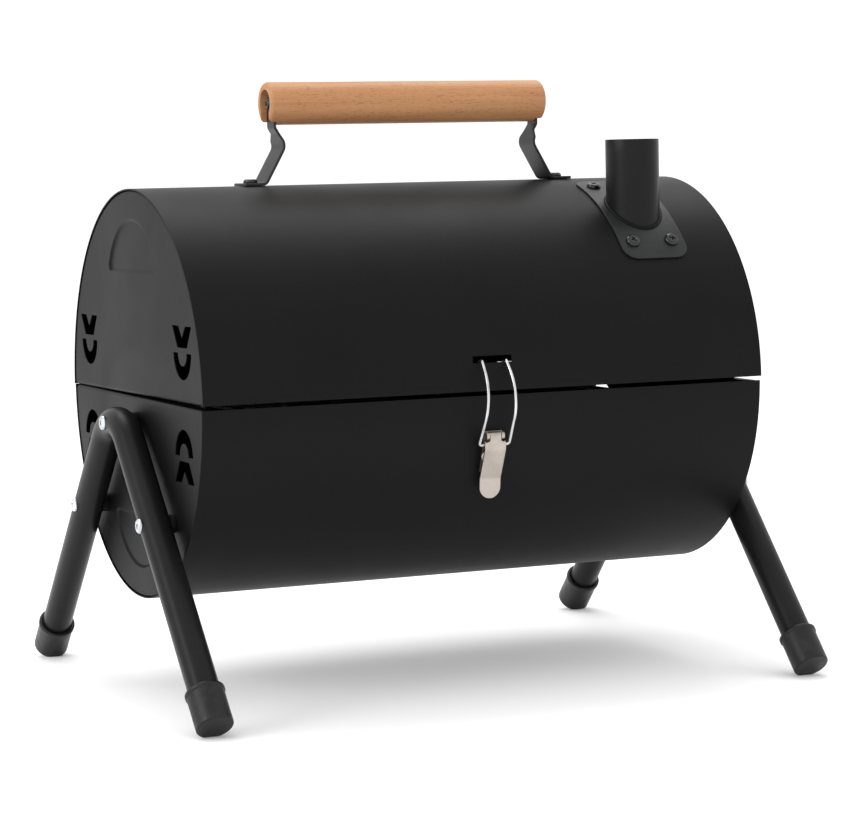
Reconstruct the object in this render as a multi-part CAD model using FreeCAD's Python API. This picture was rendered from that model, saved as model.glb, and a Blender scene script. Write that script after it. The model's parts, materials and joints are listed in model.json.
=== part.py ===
import FreeCAD, Part
import math
import os

# Table-top barrel charcoal smoker. Millimetres. The barrel lies along X and is split along its
# middle, the front is -Y, and Z = 0 is the table under the centre of the barrel.

V = FreeCAD.Vector
X_AXIS, Y_AXIS, Z_AXIS = V(1, 0, 0), V(0, 1, 0), V(0, 0, 1)

# Barrel
BARREL_LENGTH = 430.0
BODY_RADIUS = 145.5
LID_STEP = 2.0                 # the lid's radius is larger than the body's by this
SHEET = 1.0
SPLIT_GAP = 4.2                # slot between the lid's edge and the body's edge
GROUND_CLEARANCE = 69.0        # table to the lowest line of the barrel

# Pressed end plates
END_RECESS = 0.5               # the plate's face stands this far inside the shell's edge
FLANGE_DEPTH = 10.0
PRESS_RADIUS = 2.0
SPLIT_CORNER_RADIUS = 3.5
VENT_INSET = 40.0              # vent centre line to the plate's rim, along Y
SMILE_TOP = 35.5               # height of the vents above the split
SMILE_OUTER = 18.5
SMILE_INNER = 9.0
CHEVRON_BASE = 39.0
CHEVRON_HEIGHT = 15.0
CHEVRON_NOTCH = 8.0
CHEVRON_HALF_TOP = 20.0
CHEVRON_HALF_NOTCH = 7.0
CHEVRON_HALF_BASE = 10.0
PANEL_INSET = 22.0             # top of the D-shaped panel to the plate's rim
PANEL_HEIGHT = 35.3
PANEL_RADIUS = 58.8
PANEL_DEPTH = 1.5
PANEL_SLOPE = 1.2              # the panel's wall leans by this over its depth
TAB_WIDTH = 10.0               # rest tabs that carry the closed lid
TAB_THICKNESS = 1.2
TAB_INSET = 26.0

# Legs
LEG_DIAMETER = 22.0
LEG_WALL = 1.5
LEG_STANDOFF = 2.5             # end plate to the side of the tube
LEG_APEX_DROP = 18.4           # apex of the centre line below the split
LEG_BEND_RADIUS = 36.0
LEG_TILT = 43.0                # degrees from the vertical
LEG_SCREW_INSET = 31.0         # lower screws to the plate's rim
SPACER_DIAMETER = 13.0
CAP_WALL = 2.0
CAP_LENGTH = 29.0
CAP_END = 3.0
CAP_LIP = 0.8
CAP_LIP_LENGTH = 3.0
CAP_ROUNDING = 1.5
CAP_FACET = 0.9                # height worn off the cap's lower rim, which gives it a flat to stand on

# Screws, nuts and rivets
HOLE_CLEARANCE = 0.1           # radial, around every shank
SCREW_DIAMETER = 5.0
SCREW_HEAD_DIAMETER = 10.5
SCREW_HEAD_HEIGHT = 2.8
SCREW_SEAT = 0.6               # flat spot pressed into the leg tube under a head
SCREW_END = 1.5                # thread that stands past the nut
NUT_ACROSS = 8.0
NUT_HEIGHT = 4.0
RECESS_LENGTH = 5.4
RECESS_WIDTH = 1.2
RECESS_DEPTH = 1.3
RIVET_DIAMETER = 4.0
RIVET_HEAD_DIAMETER = 7.5
RIVET_HEAD_HEIGHT = 1.4

# Chimney
CHIMNEY_DIAMETER = 39.3
CHIMNEY_WALL = 1.2
CHIMNEY_ANGLE = 57.0           # degrees from the front horizontal to the chimney's axis on the lid
CHIMNEY_END_INSET = 68.0       # chimney axis to the end of the barrel
CHIMNEY_ABOVE_CROWN = 28.0
CHIMNEY_BELOW_LID = 4.0
CHIMNEY_HOLE_CLEARANCE = 0.4
SADDLE_SIDE = 6.85             # plate beside the pipe, along X
SADDLE_TAIL = 32.35            # plate above and below the pipe, along the lid's curve
SADDLE_THICKNESS = 1.5
SADDLE_CORNER = 11.0
SADDLE_SCREW_EDGE_X = 10.75    # screws to the plate's edges
SADDLE_SCREW_EDGE_ARC = 15.5

# Handle
GRIP_DIAMETER = 31.0
GRIP_LENGTH = 220.0
GRIP_RISE = 59.0               # grip axis above the crown of the lid
GRIP_ROUNDING = 2.5
GRIP_RECESS_DIAMETER = 20.0
GRIP_RECESS_DEPTH = 6.0
STRAP_WIDTH = 25.0
STRAP_THICKNESS = 2.0
STRAP_TAB_WIDTH = 14.0
STRAP_BEND = 4.0
STRAP_FOOT = 16.0              # length of the foot that lies on the lid
STRAP_HEEL_OUTSET = 4.6        # heel beyond the end of the grip
STRAP_ELBOW_INSET = 10.5
STRAP_ELBOW_RISE = 27.5
STRAP_NECK_INSET = 7.5
STRAP_NECK_DROP = 6.0          # neck below the underside of the grip
STRAP_SHOULDER_DROP = 2.0      # last bend below the underside of the grip
FOOT_SCREW_FROM_HEEL = 8.0
GRIP_SCREW_DIAMETER = 4.0
GRIP_SCREW_LENGTH = 24.0
GRIP_SCREW_HEAD = 8.0
TAB_SIDE_GAP = 1.0             # grip notch beside the strap

# Hinges
HINGE_FROM_END = 95.0          # hinge centre to the end of the barrel
HINGE_WIDTH = 40.0
HINGE_KNUCKLES = 5
KNUCKLE_GAP = 0.4
KNUCKLE_RADIUS = 3.2
HINGE_PIN_DIAMETER = 4.0
HINGE_PIN_HEAD = 1.2
HINGE_STANDOFF = 3.5           # pin axis outside the lid's surface
LEAF_THICKNESS = 1.5
LEAF_HEIGHT = 20.0
LEAF_EDGE = 5.0                # leaf edge above or below the split plane
WEB_GAP = 0.1                  # web of a knuckle to the sheet that it stands beside
PIN_CLEARANCE = 0.05

# Latch
SLOT_SIDE_GAP = 4.6            # slot beside the wire that enters it
SLOT_BOTTOM = 21.2             # height above the split
SLOT_HEIGHT = 4.9
LATCH_SHEET = 1.2
LATCH_PIN_DIAMETER = 3.0
LATCH_PIN_DROP = 30.0          # pin axis below the split
LATCH_KNUCKLE_RADIUS = 2.7
LATCH_ROLL_WIDTH = 8.4
LATCH_SIDE_GAP = 0.4
LATCH_BASE_DROP = 26.0         # length of the base below the pin
LATCH_RIVET_DROP = 15.0
LATCH_RIVET_SPREAD = 7.0
LEVER_WIDTH = 16.0
LEVER_SHOULDER = 4.0           # top edge of the full-width lever below the pin axis
LEVER_LENGTH = 45.0            # pin axis to the tip
LEVER_KNEE = 10.0              # first bend below the pin axis
LEVER_KICK = 14.0              # length of the tip that kicks out
LEVER_KNEE_OUT = 1.2           # knee, dip and tip of the lever away from the barrel
LEVER_DIP = 1.2
LEVER_TIP_OUT = 3.8
LEVER_BEND = 6.0
EAR_RADIUS = 2.3
WIRE_DIAMETER = 2.2
WIRE_LOW_GAP = 2.4             # arms of the bail beside the lever, at their pivots and at the slot
WIRE_HIGH_GAP = 0.2
WIRE_PIVOT_DROP = 6.3          # bail pivot below the pin axis
WIRE_PIVOT_OUT = 0.4           # and outside the pin's radius
WIRE_SLOT_GAP = 0.3            # cross-bar above the edge that it holds
WIRE_END_INSET = 0.8           # the wire's ends reach this far inside the ears
WIRE_CORNER = 2.0
WIRE_BOW_RADIUS = 28.0
WIRE_BOW_HIGH = 14.7           # the bow's two corner points outside the body's surface
WIRE_BOW_LOW = 15.4
WIRE_BOW_RISE = 8.0            # and above and below the split
WIRE_BOW_DROP = 11.0
WIRE_HOOK_OUT = 2.8            # the wire turns down this far outside the lid

# Grids and their ledges
GRID_END_GAP = 3.0             # grid to the end plates' flanges
FRAME_ROD = 5.0
BAR_ROD = 3.0
WELD_SINK = 0.3                # a welded bar sinks into its frame by this
FRAME_CORNER = 15.0
GRID_DROP = 22.0               # frame centre line below the split
GRID_SIDE_GAP = 12.0           # frame to the shell
GRID_PITCH = 15.5
GRATE_RISE = 49.5              # frame centre line above the inside of the body
GRATE_SIDE_GAP = 13.0
GRATE_PITCH = 19.5
LEDGE_THICKNESS = 1.2
LEDGE_HEIGHT = 15.0
LEDGE_UNDER_ROD = 4.0          # the ledge reaches this far past the rod that it carries
LEDGE_BEND = 1.0
GRID_LEDGE_WIDTH = 30.0
GRID_LEDGE_VENT_GAP = 9.5      # ledge to the vents beside it
GRATE_LEDGE_WIDTH = 18.0
GRATE_LEDGE_INSET = 17.0       # ledge centre line to the side rod of the grate

# Derived places
AXIS_Z = GROUND_CLEARANCE + BODY_RADIUS
LID_RADIUS = BODY_RADIUS + LID_STEP
HALF_LENGTH = BARREL_LENGTH / 2
END_FACE = HALF_LENGTH - END_RECESS
END_INNER = END_FACE - SHEET
FLANGE_END = END_FACE - FLANGE_DEPTH
HALF_GAP = SPLIT_GAP / 2
CROWN_Z = AXIS_Z + LID_RADIUS
LEG_X = END_FACE + LEG_STANDOFF + LEG_DIAMETER / 2
CHIMNEY_X = HALF_LENGTH - CHIMNEY_END_INSET
CHIMNEY_Y = -LID_RADIUS * math.cos(math.radians(CHIMNEY_ANGLE))
SADDLE_WIDTH = CHIMNEY_DIAMETER + 2 * SADDLE_SIDE
SADDLE_ARC = CHIMNEY_DIAMETER + 2 * SADDLE_TAIL
HINGE_X = HALF_LENGTH - HINGE_FROM_END
HINGE_Y = LID_RADIUS + HINGE_STANDOFF
LATCH_PIN_RADIUS = BODY_RADIUS + LATCH_SHEET + LATCH_KNUCKLE_RADIUS + LATCH_SIDE_GAP
GRATE_DROP = BODY_RADIUS - SHEET - GRATE_RISE
GRIP_END = GRIP_LENGTH / 2
GRIP_Z = CROWN_Z + GRIP_RISE


# ---------------------------------------------------------------- helpers

def box(x_range, y_range, z_range):
    """Block between two values on each axis."""
    size = [high - low for low, high in (x_range, y_range, z_range)]
    return Part.makeBox(*size, V(x_range[0], y_range[0], z_range[0]))


def rod(start, end, radius):
    """Straight cylinder from one point to another."""
    run = end - start
    return Part.makeCylinder(radius, run.Length, start, run)


def drum(radius, x_low, x_high):
    """Cylinder about the barrel's axis."""
    return rod(V(x_low, 0, AXIS_Z), V(x_high, 0, AXIS_Z), radius)


def prism(points, push):
    """Straight-sided solid from a closed outline."""
    return Part.Face(Part.makePolygon(points + points[:1])).extrude(push)


def fused(shapes):
    """One solid out of several that touch or overlap."""
    return shapes[0].multiFuse(shapes[1:]).removeSplitter() if len(shapes) > 1 else shapes[0]


def aimed(shape, point, direction):
    """Move a shape made along +Z so that it starts at a point and looks along a direction."""
    moved = shape.copy()
    moved.Placement = FreeCAD.Placement(point, FreeCAD.Rotation(Z_AXIS, direction))
    return moved


def mirrored_x(shape):
    """The same piece at the other end of the barrel."""
    return shape.mirror(V(0, 0, 0), X_AXIS)


def outward(angle):
    """Direction away from the barrel's axis, at an angle up from the front horizontal."""
    turn = math.radians(angle)
    return V(0, -math.cos(turn), math.sin(turn))


def on_drum(x, radius, angle):
    """Point at a radius and an angle about the barrel's axis."""
    return V(x, 0, AXIS_Z) + outward(angle) * radius


def at_drop(x, radius, drop, side=-1):
    """Point at a radius and a drop below the split; side is -1 for the front, 1 for the back."""
    return V(x, side * math.sqrt(radius ** 2 - drop ** 2), AXIS_Z - drop)


def drop_angle(radius, drop):
    """Angle of a point at a radius and a drop below the split."""
    return -math.degrees(math.asin(drop / radius))


def sagitta(radius, half_width):
    """How far a curve falls away over a half width."""
    return radius - math.sqrt(radius ** 2 - half_width ** 2)


def curved_plate(x_range, inner, outer, angles):
    """Plate that follows the barrel, between two radii and two angles."""
    low, high = angles
    middle = (low + high) / 2
    x = x_range[0]
    outer_arc = Part.Arc(*(on_drum(x, outer, a) for a in (low, middle, high))).toShape()
    inner_arc = Part.Arc(*(on_drum(x, inner, a) for a in (high, middle, low))).toShape()
    sides = [Part.makeLine(on_drum(x, outer, high), on_drum(x, inner, high)),
             Part.makeLine(on_drum(x, inner, low), on_drum(x, outer, low))]
    outline = Part.Wire([outer_arc, sides[0], inner_arc, sides[1]])
    return Part.Face(outline).extrude(V(x_range[1] - x, 0, 0))


def rounded_path(points, radii):
    """Straight runs joined by tangent arcs, one radius for each inner point."""
    edges = []
    start = points[0]
    for before, at, after, radius in zip(points, points[1:], points[2:], radii):
        back = (before - at).normalize()
        ahead = (after - at).normalize()
        half = back.getAngle(ahead) / 2
        reach = radius / math.tan(half)
        leave = at + back * reach
        join = at + ahead * reach
        middle = at + (back + ahead).normalize() * (radius / math.sin(half) - radius)
        edges.append(Part.makeLine(start, leave))
        edges.append(Part.Arc(leave, middle, join).toShape())
        start = join
    edges.append(Part.makeLine(start, points[-1]))
    return Part.Wire(edges)


def bent_rod(points, radii, radius):
    """Round rod along a rounded path."""
    circle = Part.Wire(Part.makeCircle(radius, points[0], points[1] - points[0]))
    return rounded_path(points, radii).makePipeShell([circle], True, True)


def bent_strip(points, radii, thickness, width, across):
    """Flat strip along a rounded path that lies in the plane square to across."""
    run = (points[1] - points[0]).normalize()
    half_up = across.cross(run) * (thickness / 2)
    half_over = across * (width / 2)
    corners = [half_up + half_over, half_up - half_over, half_up * -1 - half_over,
               half_up * -1 + half_over]
    outline = Part.makePolygon([points[0] + corner for corner in corners + corners[:1]])
    return rounded_path(points, radii).makePipeShell([outline], True, False)


def rounded_rim(shape, height, radius):
    """Round the circular rim at one height of a piece made along +Z."""
    rims = [edge for edge in shape.Edges
            if edge.BoundBox.ZLength < 1e-6 and abs(edge.BoundBox.ZMin - height) < 1e-6]
    return shape.makeFillet(radius, rims)


# ---------------------------------------------------------------- fasteners

def screw_hole(point, direction, radius, length):
    """Cutter for a shank, long enough to pass both ways."""
    return aimed(Part.makeCylinder(radius + HOLE_CLEARANCE, length, V(0, 0, -length / 2)),
                 point, direction)


def screw(point, direction, reach, diameter=SCREW_DIAMETER, head_diameter=SCREW_HEAD_DIAMETER):
    """Pan-head screw with a cross recess; the head sits at the point and looks outward."""
    head = Part.makeCylinder(head_diameter / 2, SCREW_HEAD_HEIGHT)
    head = rounded_rim(head, SCREW_HEAD_HEIGHT, SCREW_HEAD_HEIGHT * 0.8)
    floor = SCREW_HEAD_HEIGHT - RECESS_DEPTH
    for turn in (0, 90):
        slot = Part.makeBox(RECESS_LENGTH, RECESS_WIDTH, RECESS_DEPTH,
                            V(-RECESS_LENGTH / 2, -RECESS_WIDTH / 2, floor))
        slot.rotate(V(0, 0, 0), Z_AXIS, turn)
        head = head.cut(slot)
    shank = Part.makeCylinder(diameter / 2, reach, V(0, 0, -reach))
    return aimed(head.fuse(shank), point, direction)


def nut(point, direction):
    """Hexagon nut that sits at the point and grows along the direction."""
    corner = NUT_ACROSS / 2 / math.cos(math.radians(30))
    turns = [math.radians(60 * step) for step in range(6)]
    block = prism([V(corner * math.cos(t), corner * math.sin(t), 0) for t in turns],
                  V(0, 0, NUT_HEIGHT))
    bore = Part.makeCylinder(SCREW_DIAMETER / 2, NUT_HEIGHT)
    return aimed(block.cut(bore), point, direction)


def nut_lift(radius):
    """Gap that keeps a nut's corners out of the curved sheet that it sits in."""
    return sagitta(radius, NUT_ACROSS / 2 / math.cos(math.radians(30))) + 0.02


def rivet(point, direction, grip, lift=0.0):
    """Dome-head rivet through a grip of sheet, with a flat tail behind it."""
    head = Part.makeCylinder(RIVET_HEAD_DIAMETER / 2, RIVET_HEAD_HEIGHT)
    head = rounded_rim(head, RIVET_HEAD_HEIGHT, RIVET_HEAD_HEIGHT * 0.9)
    tail_low = -grip - lift - RIVET_HEAD_HEIGHT
    shank = Part.makeCylinder(RIVET_DIAMETER / 2, -tail_low, V(0, 0, tail_low))
    tail = Part.makeCylinder(RIVET_HEAD_DIAMETER / 2, RIVET_HEAD_HEIGHT, V(0, 0, tail_low))
    return aimed(fused([head, shank, tail]), point, direction)


def rivet_lift(radius):
    """Gap that keeps a rivet's tail out of the curved sheet that it sits in."""
    return sagitta(radius, RIVET_HEAD_DIAMETER / 2) + 0.02


# ---------------------------------------------------------------- hinge places

def leaf_angles(radius, above):
    """Angles of a hinge leaf on the back of the barrel, above or below the split."""
    reach = [math.degrees(math.asin(z / radius)) for z in (LEAF_EDGE, LEAF_EDGE + LEAF_HEIGHT)]
    if above:
        return 180 - reach[1], 180 - reach[0]
    return 180 + reach[0], 180 + reach[1]


def leaf_rivet_places(sheet_radius, above):
    """Point on the leaf's face and outward direction of each rivet of the leaf at +X."""
    angle = sum(leaf_angles(sheet_radius, above)) / 2
    places = []
    for side in (-1, 1):
        x = HINGE_X + side * HINGE_WIDTH * 0.3
        places.append((on_drum(x, sheet_radius + LEAF_THICKNESS, angle), outward(angle)))
    return places


def knuckle_ranges(first):
    """X ranges of every other hinge knuckle, from the first or the second one."""
    pitch = HINGE_WIDTH / HINGE_KNUCKLES
    low = HINGE_X - HINGE_WIDTH / 2
    return [(low + pitch * step + KNUCKLE_GAP / 2, low + pitch * (step + 1) - KNUCKLE_GAP / 2)
            for step in range(first, HINGE_KNUCKLES, 2)]


def both_ends(shapes):
    """The pieces at +X and the same pieces at -X."""
    return shapes + [mirrored_x(shape) for shape in shapes]


# ---------------------------------------------------------------- shells

def half_sheet(radius, above):
    """Half of the barrel's sheet, above or below the split."""
    ring = drum(radius, -HALF_LENGTH, HALF_LENGTH).cut(drum(radius - SHEET, -HALF_LENGTH, HALF_LENGTH))
    span = 2 * radius
    z_range = (AXIS_Z + HALF_GAP, AXIS_Z + span) if above else (AXIS_Z - span, AXIS_Z - HALF_GAP)
    return ring.common(box((-HALF_LENGTH, HALF_LENGTH), (-span, span), z_range))


def saddle_screw_places(radius):
    """Point and outward direction of each of the four chimney screws, at a radius."""
    swing = math.degrees((SADDLE_ARC / 2 - SADDLE_SCREW_EDGE_ARC) / LID_RADIUS)
    side = SADDLE_WIDTH / 2 - SADDLE_SCREW_EDGE_X
    places = []
    for x in (CHIMNEY_X - side, CHIMNEY_X + side):
        for angle in (CHIMNEY_ANGLE - swing, CHIMNEY_ANGLE + swing):
            places.append((on_drum(x, radius, angle), outward(angle)))
    return places


def foot_screw_x():
    """Distance of each handle foot screw from the middle of the lid."""
    return GRIP_END + STRAP_HEEL_OUTSET + FOOT_SCREW_FROM_HEEL


def lid_shell():
    """Upper sheet with the latch slot, the chimney hole and the screw and rivet holes."""
    shell = half_sheet(LID_RADIUS, True)
    slot_side = LEVER_WIDTH / 2 + WIRE_HIGH_GAP + WIRE_DIAMETER + SLOT_SIDE_GAP
    slot = box((-slot_side, slot_side), (-LID_RADIUS * 1.1, -LID_RADIUS / 2),
               (AXIS_Z + SLOT_BOTTOM, AXIS_Z + SLOT_BOTTOM + SLOT_HEIGHT))
    flue = rod(V(CHIMNEY_X, CHIMNEY_Y, AXIS_Z), V(CHIMNEY_X, CHIMNEY_Y, CROWN_Z + GRIP_RISE),
               CHIMNEY_DIAMETER / 2 + CHIMNEY_HOLE_CLEARANCE)
    cutters = [slot, flue]
    for point, direction in saddle_screw_places(LID_RADIUS):
        cutters.append(screw_hole(point, direction, SCREW_DIAMETER / 2, 20))
    for x in (-foot_screw_x(), foot_screw_x()):
        cutters.append(screw_hole(V(x, 0, CROWN_Z), Z_AXIS, SCREW_DIAMETER / 2, 20))
    leaf_holes = [screw_hole(point, direction, RIVET_DIAMETER / 2, 20)
                  for point, direction in leaf_rivet_places(LID_RADIUS, True)]
    return shell.cut(cutters + both_ends(leaf_holes))


def body_shell():
    """Lower sheet with the rivet holes of the hinges and of the latch base."""
    shell = half_sheet(BODY_RADIUS, False)
    leaf_holes = [screw_hole(point, direction, RIVET_DIAMETER / 2, 20)
                  for point, direction in leaf_rivet_places(BODY_RADIUS, False)]
    latch_holes = [screw_hole(point, direction, RIVET_DIAMETER / 2, 20)
                   for point, direction in latch_rivet_places()]
    return shell.cut(both_ends(leaf_holes) + latch_holes)


# ---------------------------------------------------------------- end plates

def half_drum(radius, x_range, low, corner):
    """Solid half disc above the split, with its two split corners rounded."""
    span = 2 * radius
    block = drum(radius, *x_range).common(box(x_range, (-span, span), (AXIS_Z + low, AXIS_Z + span)))
    corners = [edge for edge in block.Edges
               if edge.BoundBox.XLength > 1 and edge.BoundBox.YLength + edge.BoundBox.ZLength < 1e-3]
    return block.makeFillet(corner, corners)


def rounded_face(block, x, radius):
    """Round every edge of the face at one X."""
    rim = [edge for edge in block.Edges
           if edge.BoundBox.XLength < 1e-3 and abs(edge.BoundBox.XMax - x) < 1e-3]
    return block.makeFillet(radius, rim)


def panel_outline(x, plate_radius, grow):
    """Closed D: a level chord below and an arc above, grown all round."""
    top = plate_radius - PANEL_INSET
    chord = top - PANEL_HEIGHT - grow
    centre = top - PANEL_RADIUS
    radius = PANEL_RADIUS + grow
    half = math.sqrt(radius ** 2 - (chord - centre) ** 2)
    left, right = V(x, -half, AXIS_Z + chord), V(x, half, AXIS_Z + chord)
    arc = Part.Arc(right, V(x, 0, AXIS_Z + centre + radius), left).toShape()
    return Part.Wire([Part.makeLine(left, right), arc])


def vent_cutters(plate_radius, x_range):
    """The two pairs of vents above the split: a chevron over a half ring."""
    push = V(x_range[1] - x_range[0], 0, 0)
    cutters = []
    for y in (-(plate_radius - VENT_INSET), plate_radius - VENT_INSET):
        centre = V(x_range[0], y, AXIS_Z + SMILE_TOP)
        ring = Part.makeCylinder(SMILE_OUTER, push.x, centre, X_AXIS)
        ring = ring.cut(Part.makeCylinder(SMILE_INNER, push.x, centre, X_AXIS))
        below = box(x_range, (y - SMILE_OUTER, y + SMILE_OUTER),
                    (AXIS_Z + SMILE_TOP - SMILE_OUTER, AXIS_Z + SMILE_TOP))
        cutters.append(ring.common(below))
        base = AXIS_Z + CHEVRON_BASE
        top = base + CHEVRON_HEIGHT
        outline = [(-CHEVRON_HALF_BASE, base), (CHEVRON_HALF_BASE, base), (CHEVRON_HALF_TOP, top),
                   (CHEVRON_HALF_NOTCH, top), (0, top - CHEVRON_NOTCH), (-CHEVRON_HALF_NOTCH, top),
                   (-CHEVRON_HALF_TOP, top)]
        cutters.append(prism([V(x_range[0], y + across, z) for across, z in outline], push))
    return cutters


def pressed_plate(radius):
    """Pressed half disc for the +X end, above the split, with its vents and D-shaped panel."""
    outer = half_drum(radius, (FLANGE_END, END_FACE), HALF_GAP, SPLIT_CORNER_RADIUS)
    inner = half_drum(radius - SHEET, (FLANGE_END, END_INNER), HALF_GAP + SHEET,
                      SPLIT_CORNER_RADIUS - SHEET)
    plate = rounded_face(outer, END_FACE, PRESS_RADIUS)
    plate = plate.cut(rounded_face(inner, END_INNER, PRESS_RADIUS - SHEET))
    floor = END_FACE - PANEL_DEPTH
    backing = Part.makeLoft([panel_outline(END_INNER, radius, PANEL_SLOPE + SHEET / 2),
                             panel_outline(floor - SHEET, radius, SHEET / 2)], True, True)
    pocket = Part.makeLoft([panel_outline(END_FACE, radius, PANEL_SLOPE),
                            panel_outline(floor, radius, 0)], True, True)
    plate = plate.fuse(backing).cut(pocket)
    return plate.cut(vent_cutters(radius, (FLANGE_END, END_FACE + 1)))


def lid_end_plate():
    """End plate of the lid at +X."""
    return pressed_plate(LID_RADIUS - SHEET)


def body_end_plate():
    """End plate of the body at +X: the same pressing turned over, with rest tabs and holes."""
    plate = pressed_plate(BODY_RADIUS - SHEET).mirror(V(0, 0, AXIS_Z), Z_AXIS)
    for side in (-1, 1):
        y = side * (BODY_RADIUS - TAB_INSET)
        tab = box((FLANGE_END, FLANGE_END + TAB_THICKNESS), (y - TAB_WIDTH / 2, y + TAB_WIDTH / 2),
                  (AXIS_Z - HALF_GAP - SHEET, AXIS_Z + HALF_GAP))
        plate = plate.fuse(tab)
    holes = [screw_hole(V(END_FACE, y, z), X_AXIS, SCREW_DIAMETER / 2, 20) for y, z in leg_screw_places()]
    return plate.cut(holes)


# ---------------------------------------------------------------- legs

def leg_tangent():
    """Point where the rear straight of a leg leaves its bend, as Y and Z."""
    turn = math.radians(LEG_TILT)
    centre = AXIS_Z - LEG_APEX_DROP - LEG_BEND_RADIUS
    return LEG_BEND_RADIUS * math.cos(turn), centre + LEG_BEND_RADIUS * math.sin(turn)


def leg_run():
    """Direction of the rear straight of a leg, down and outward, as Y and Z."""
    turn = math.radians(LEG_TILT)
    return math.sin(turn), -math.cos(turn)


def cap_radius():
    """Outer radius of a foot cap."""
    return LEG_DIAMETER / 2 + CAP_WALL


def leg_foot():
    """Centre of a cap's closed end, as Y and Z, so that its worn rim stands on the table."""
    y, z = leg_tangent()
    run_y, run_z = leg_run()
    rim = cap_radius() - CAP_ROUNDING
    dip = rim * run_y + CAP_ROUNDING * (1 + run_z) - CAP_FACET
    reach = (dip - z) / run_z
    return y + run_y * reach, z + run_z * reach


def leg_screw_places():
    """Y and Z of the three screws of one leg: the apex and a point on each straight."""
    y, z = leg_tangent()
    run_y, run_z = leg_run()
    target = BODY_RADIUS - LEG_SCREW_INSET
    drop = z - AXIS_Z
    along = y * run_y + drop * run_z
    reach = -along + math.sqrt(along ** 2 - (y ** 2 + drop ** 2 - target ** 2))
    low_y, low_z = y + run_y * reach, z + run_z * reach
    return [(0.0, AXIS_Z - LEG_APEX_DROP), (-low_y, low_z), (low_y, low_z)]


def leg_points():
    """Corner points of a leg's centre line at +X, from the front foot over the top to the rear."""
    foot_y, foot_z = leg_foot()
    run_y, run_z = leg_run()
    foot_y -= run_y * CAP_END
    foot_z -= run_z * CAP_END
    bend_top = AXIS_Z - LEG_APEX_DROP - LEG_BEND_RADIUS
    peak = bend_top + LEG_BEND_RADIUS / math.sin(math.radians(LEG_TILT))
    return [V(LEG_X, -foot_y, foot_z), V(LEG_X, 0, peak), V(LEG_X, foot_y, foot_z)]


def leg_seat_x():
    """X of the flat under a leg screw's head."""
    return LEG_X + LEG_DIAMETER / 2 - SCREW_SEAT


def leg():
    """Bent tube at +X with a flat seat and a through hole at each screw."""
    outer = bent_rod(leg_points(), [LEG_BEND_RADIUS], LEG_DIAMETER / 2)
    inner = bent_rod(leg_points(), [LEG_BEND_RADIUS], LEG_DIAMETER / 2 - LEG_WALL)
    cutters = [inner]
    for y, z in leg_screw_places():
        seat = V(leg_seat_x(), y, z)
        cutters.append(rod(seat, seat + X_AXIS * 5, SCREW_HEAD_DIAMETER / 2 + HOLE_CLEARANCE))
        cutters.append(screw_hole(V(LEG_X, y, z), X_AXIS, SCREW_DIAMETER / 2, 2 * LEG_DIAMETER))
    return outer.cut(cutters)


def leg_spacers():
    """Short collars at +X between the end plate and the round of the tube."""
    tube = bent_rod(leg_points(), [LEG_BEND_RADIUS], LEG_DIAMETER / 2)
    collars = []
    for y, z in leg_screw_places():
        base = V(END_FACE, y, z)
        collar = rod(base, base + X_AXIS * (LEG_STANDOFF + LEG_DIAMETER / 4), SPACER_DIAMETER / 2)
        collar = collar.cut(tube).cut(screw_hole(base, X_AXIS, SCREW_DIAMETER / 2, 30))
        collars.append(collar)
    return collars


def leg_screws():
    """The three screws at +X, heads outward."""
    reach = leg_seat_x() - END_INNER + NUT_HEIGHT + SCREW_END
    return [screw(V(leg_seat_x(), y, z), X_AXIS, reach) for y, z in leg_screw_places()]


def leg_nuts():
    """The three nuts inside the +X end plate."""
    return [nut(V(END_INNER, y, z), X_AXIS * -1) for y, z in leg_screw_places()]


def foot_cap(side):
    """Cap on one foot at +X; side is -1 for the front, 1 for the back."""
    radius = cap_radius()
    cup = rounded_rim(Part.makeCylinder(radius, CAP_LENGTH), 0, CAP_ROUNDING)
    lip = Part.makeCylinder(radius + CAP_LIP, CAP_LIP_LENGTH, V(0, 0, CAP_LENGTH - CAP_LIP_LENGTH))
    bore = Part.makeCylinder(LEG_DIAMETER / 2, CAP_LENGTH, V(0, 0, CAP_END))
    foot_y, foot_z = leg_foot()
    run_y, run_z = leg_run()
    cap = aimed(cup.fuse(lip).cut(bore), V(LEG_X, side * foot_y, foot_z), V(0, -side * run_y, -run_z))
    table = box((LEG_X - 2 * radius, LEG_X + 2 * radius), (-2 * foot_y, 2 * foot_y), (-radius, 0))
    return cap.cut(table)


# ---------------------------------------------------------------- chimney

def chimney_pipe():
    """Open pipe that passes through the saddle and the lid and ends square just inside."""
    radius = CHIMNEY_DIAMETER / 2
    front = math.sqrt(LID_RADIUS ** 2 - (abs(CHIMNEY_Y) + radius) ** 2)
    low = AXIS_Z + front - CHIMNEY_BELOW_LID
    start, end = V(CHIMNEY_X, CHIMNEY_Y, low), V(CHIMNEY_X, CHIMNEY_Y, CROWN_Z + CHIMNEY_ABOVE_CROWN)
    return rod(start, end, radius).cut(rod(start, end, radius - CHIMNEY_WALL))


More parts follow.
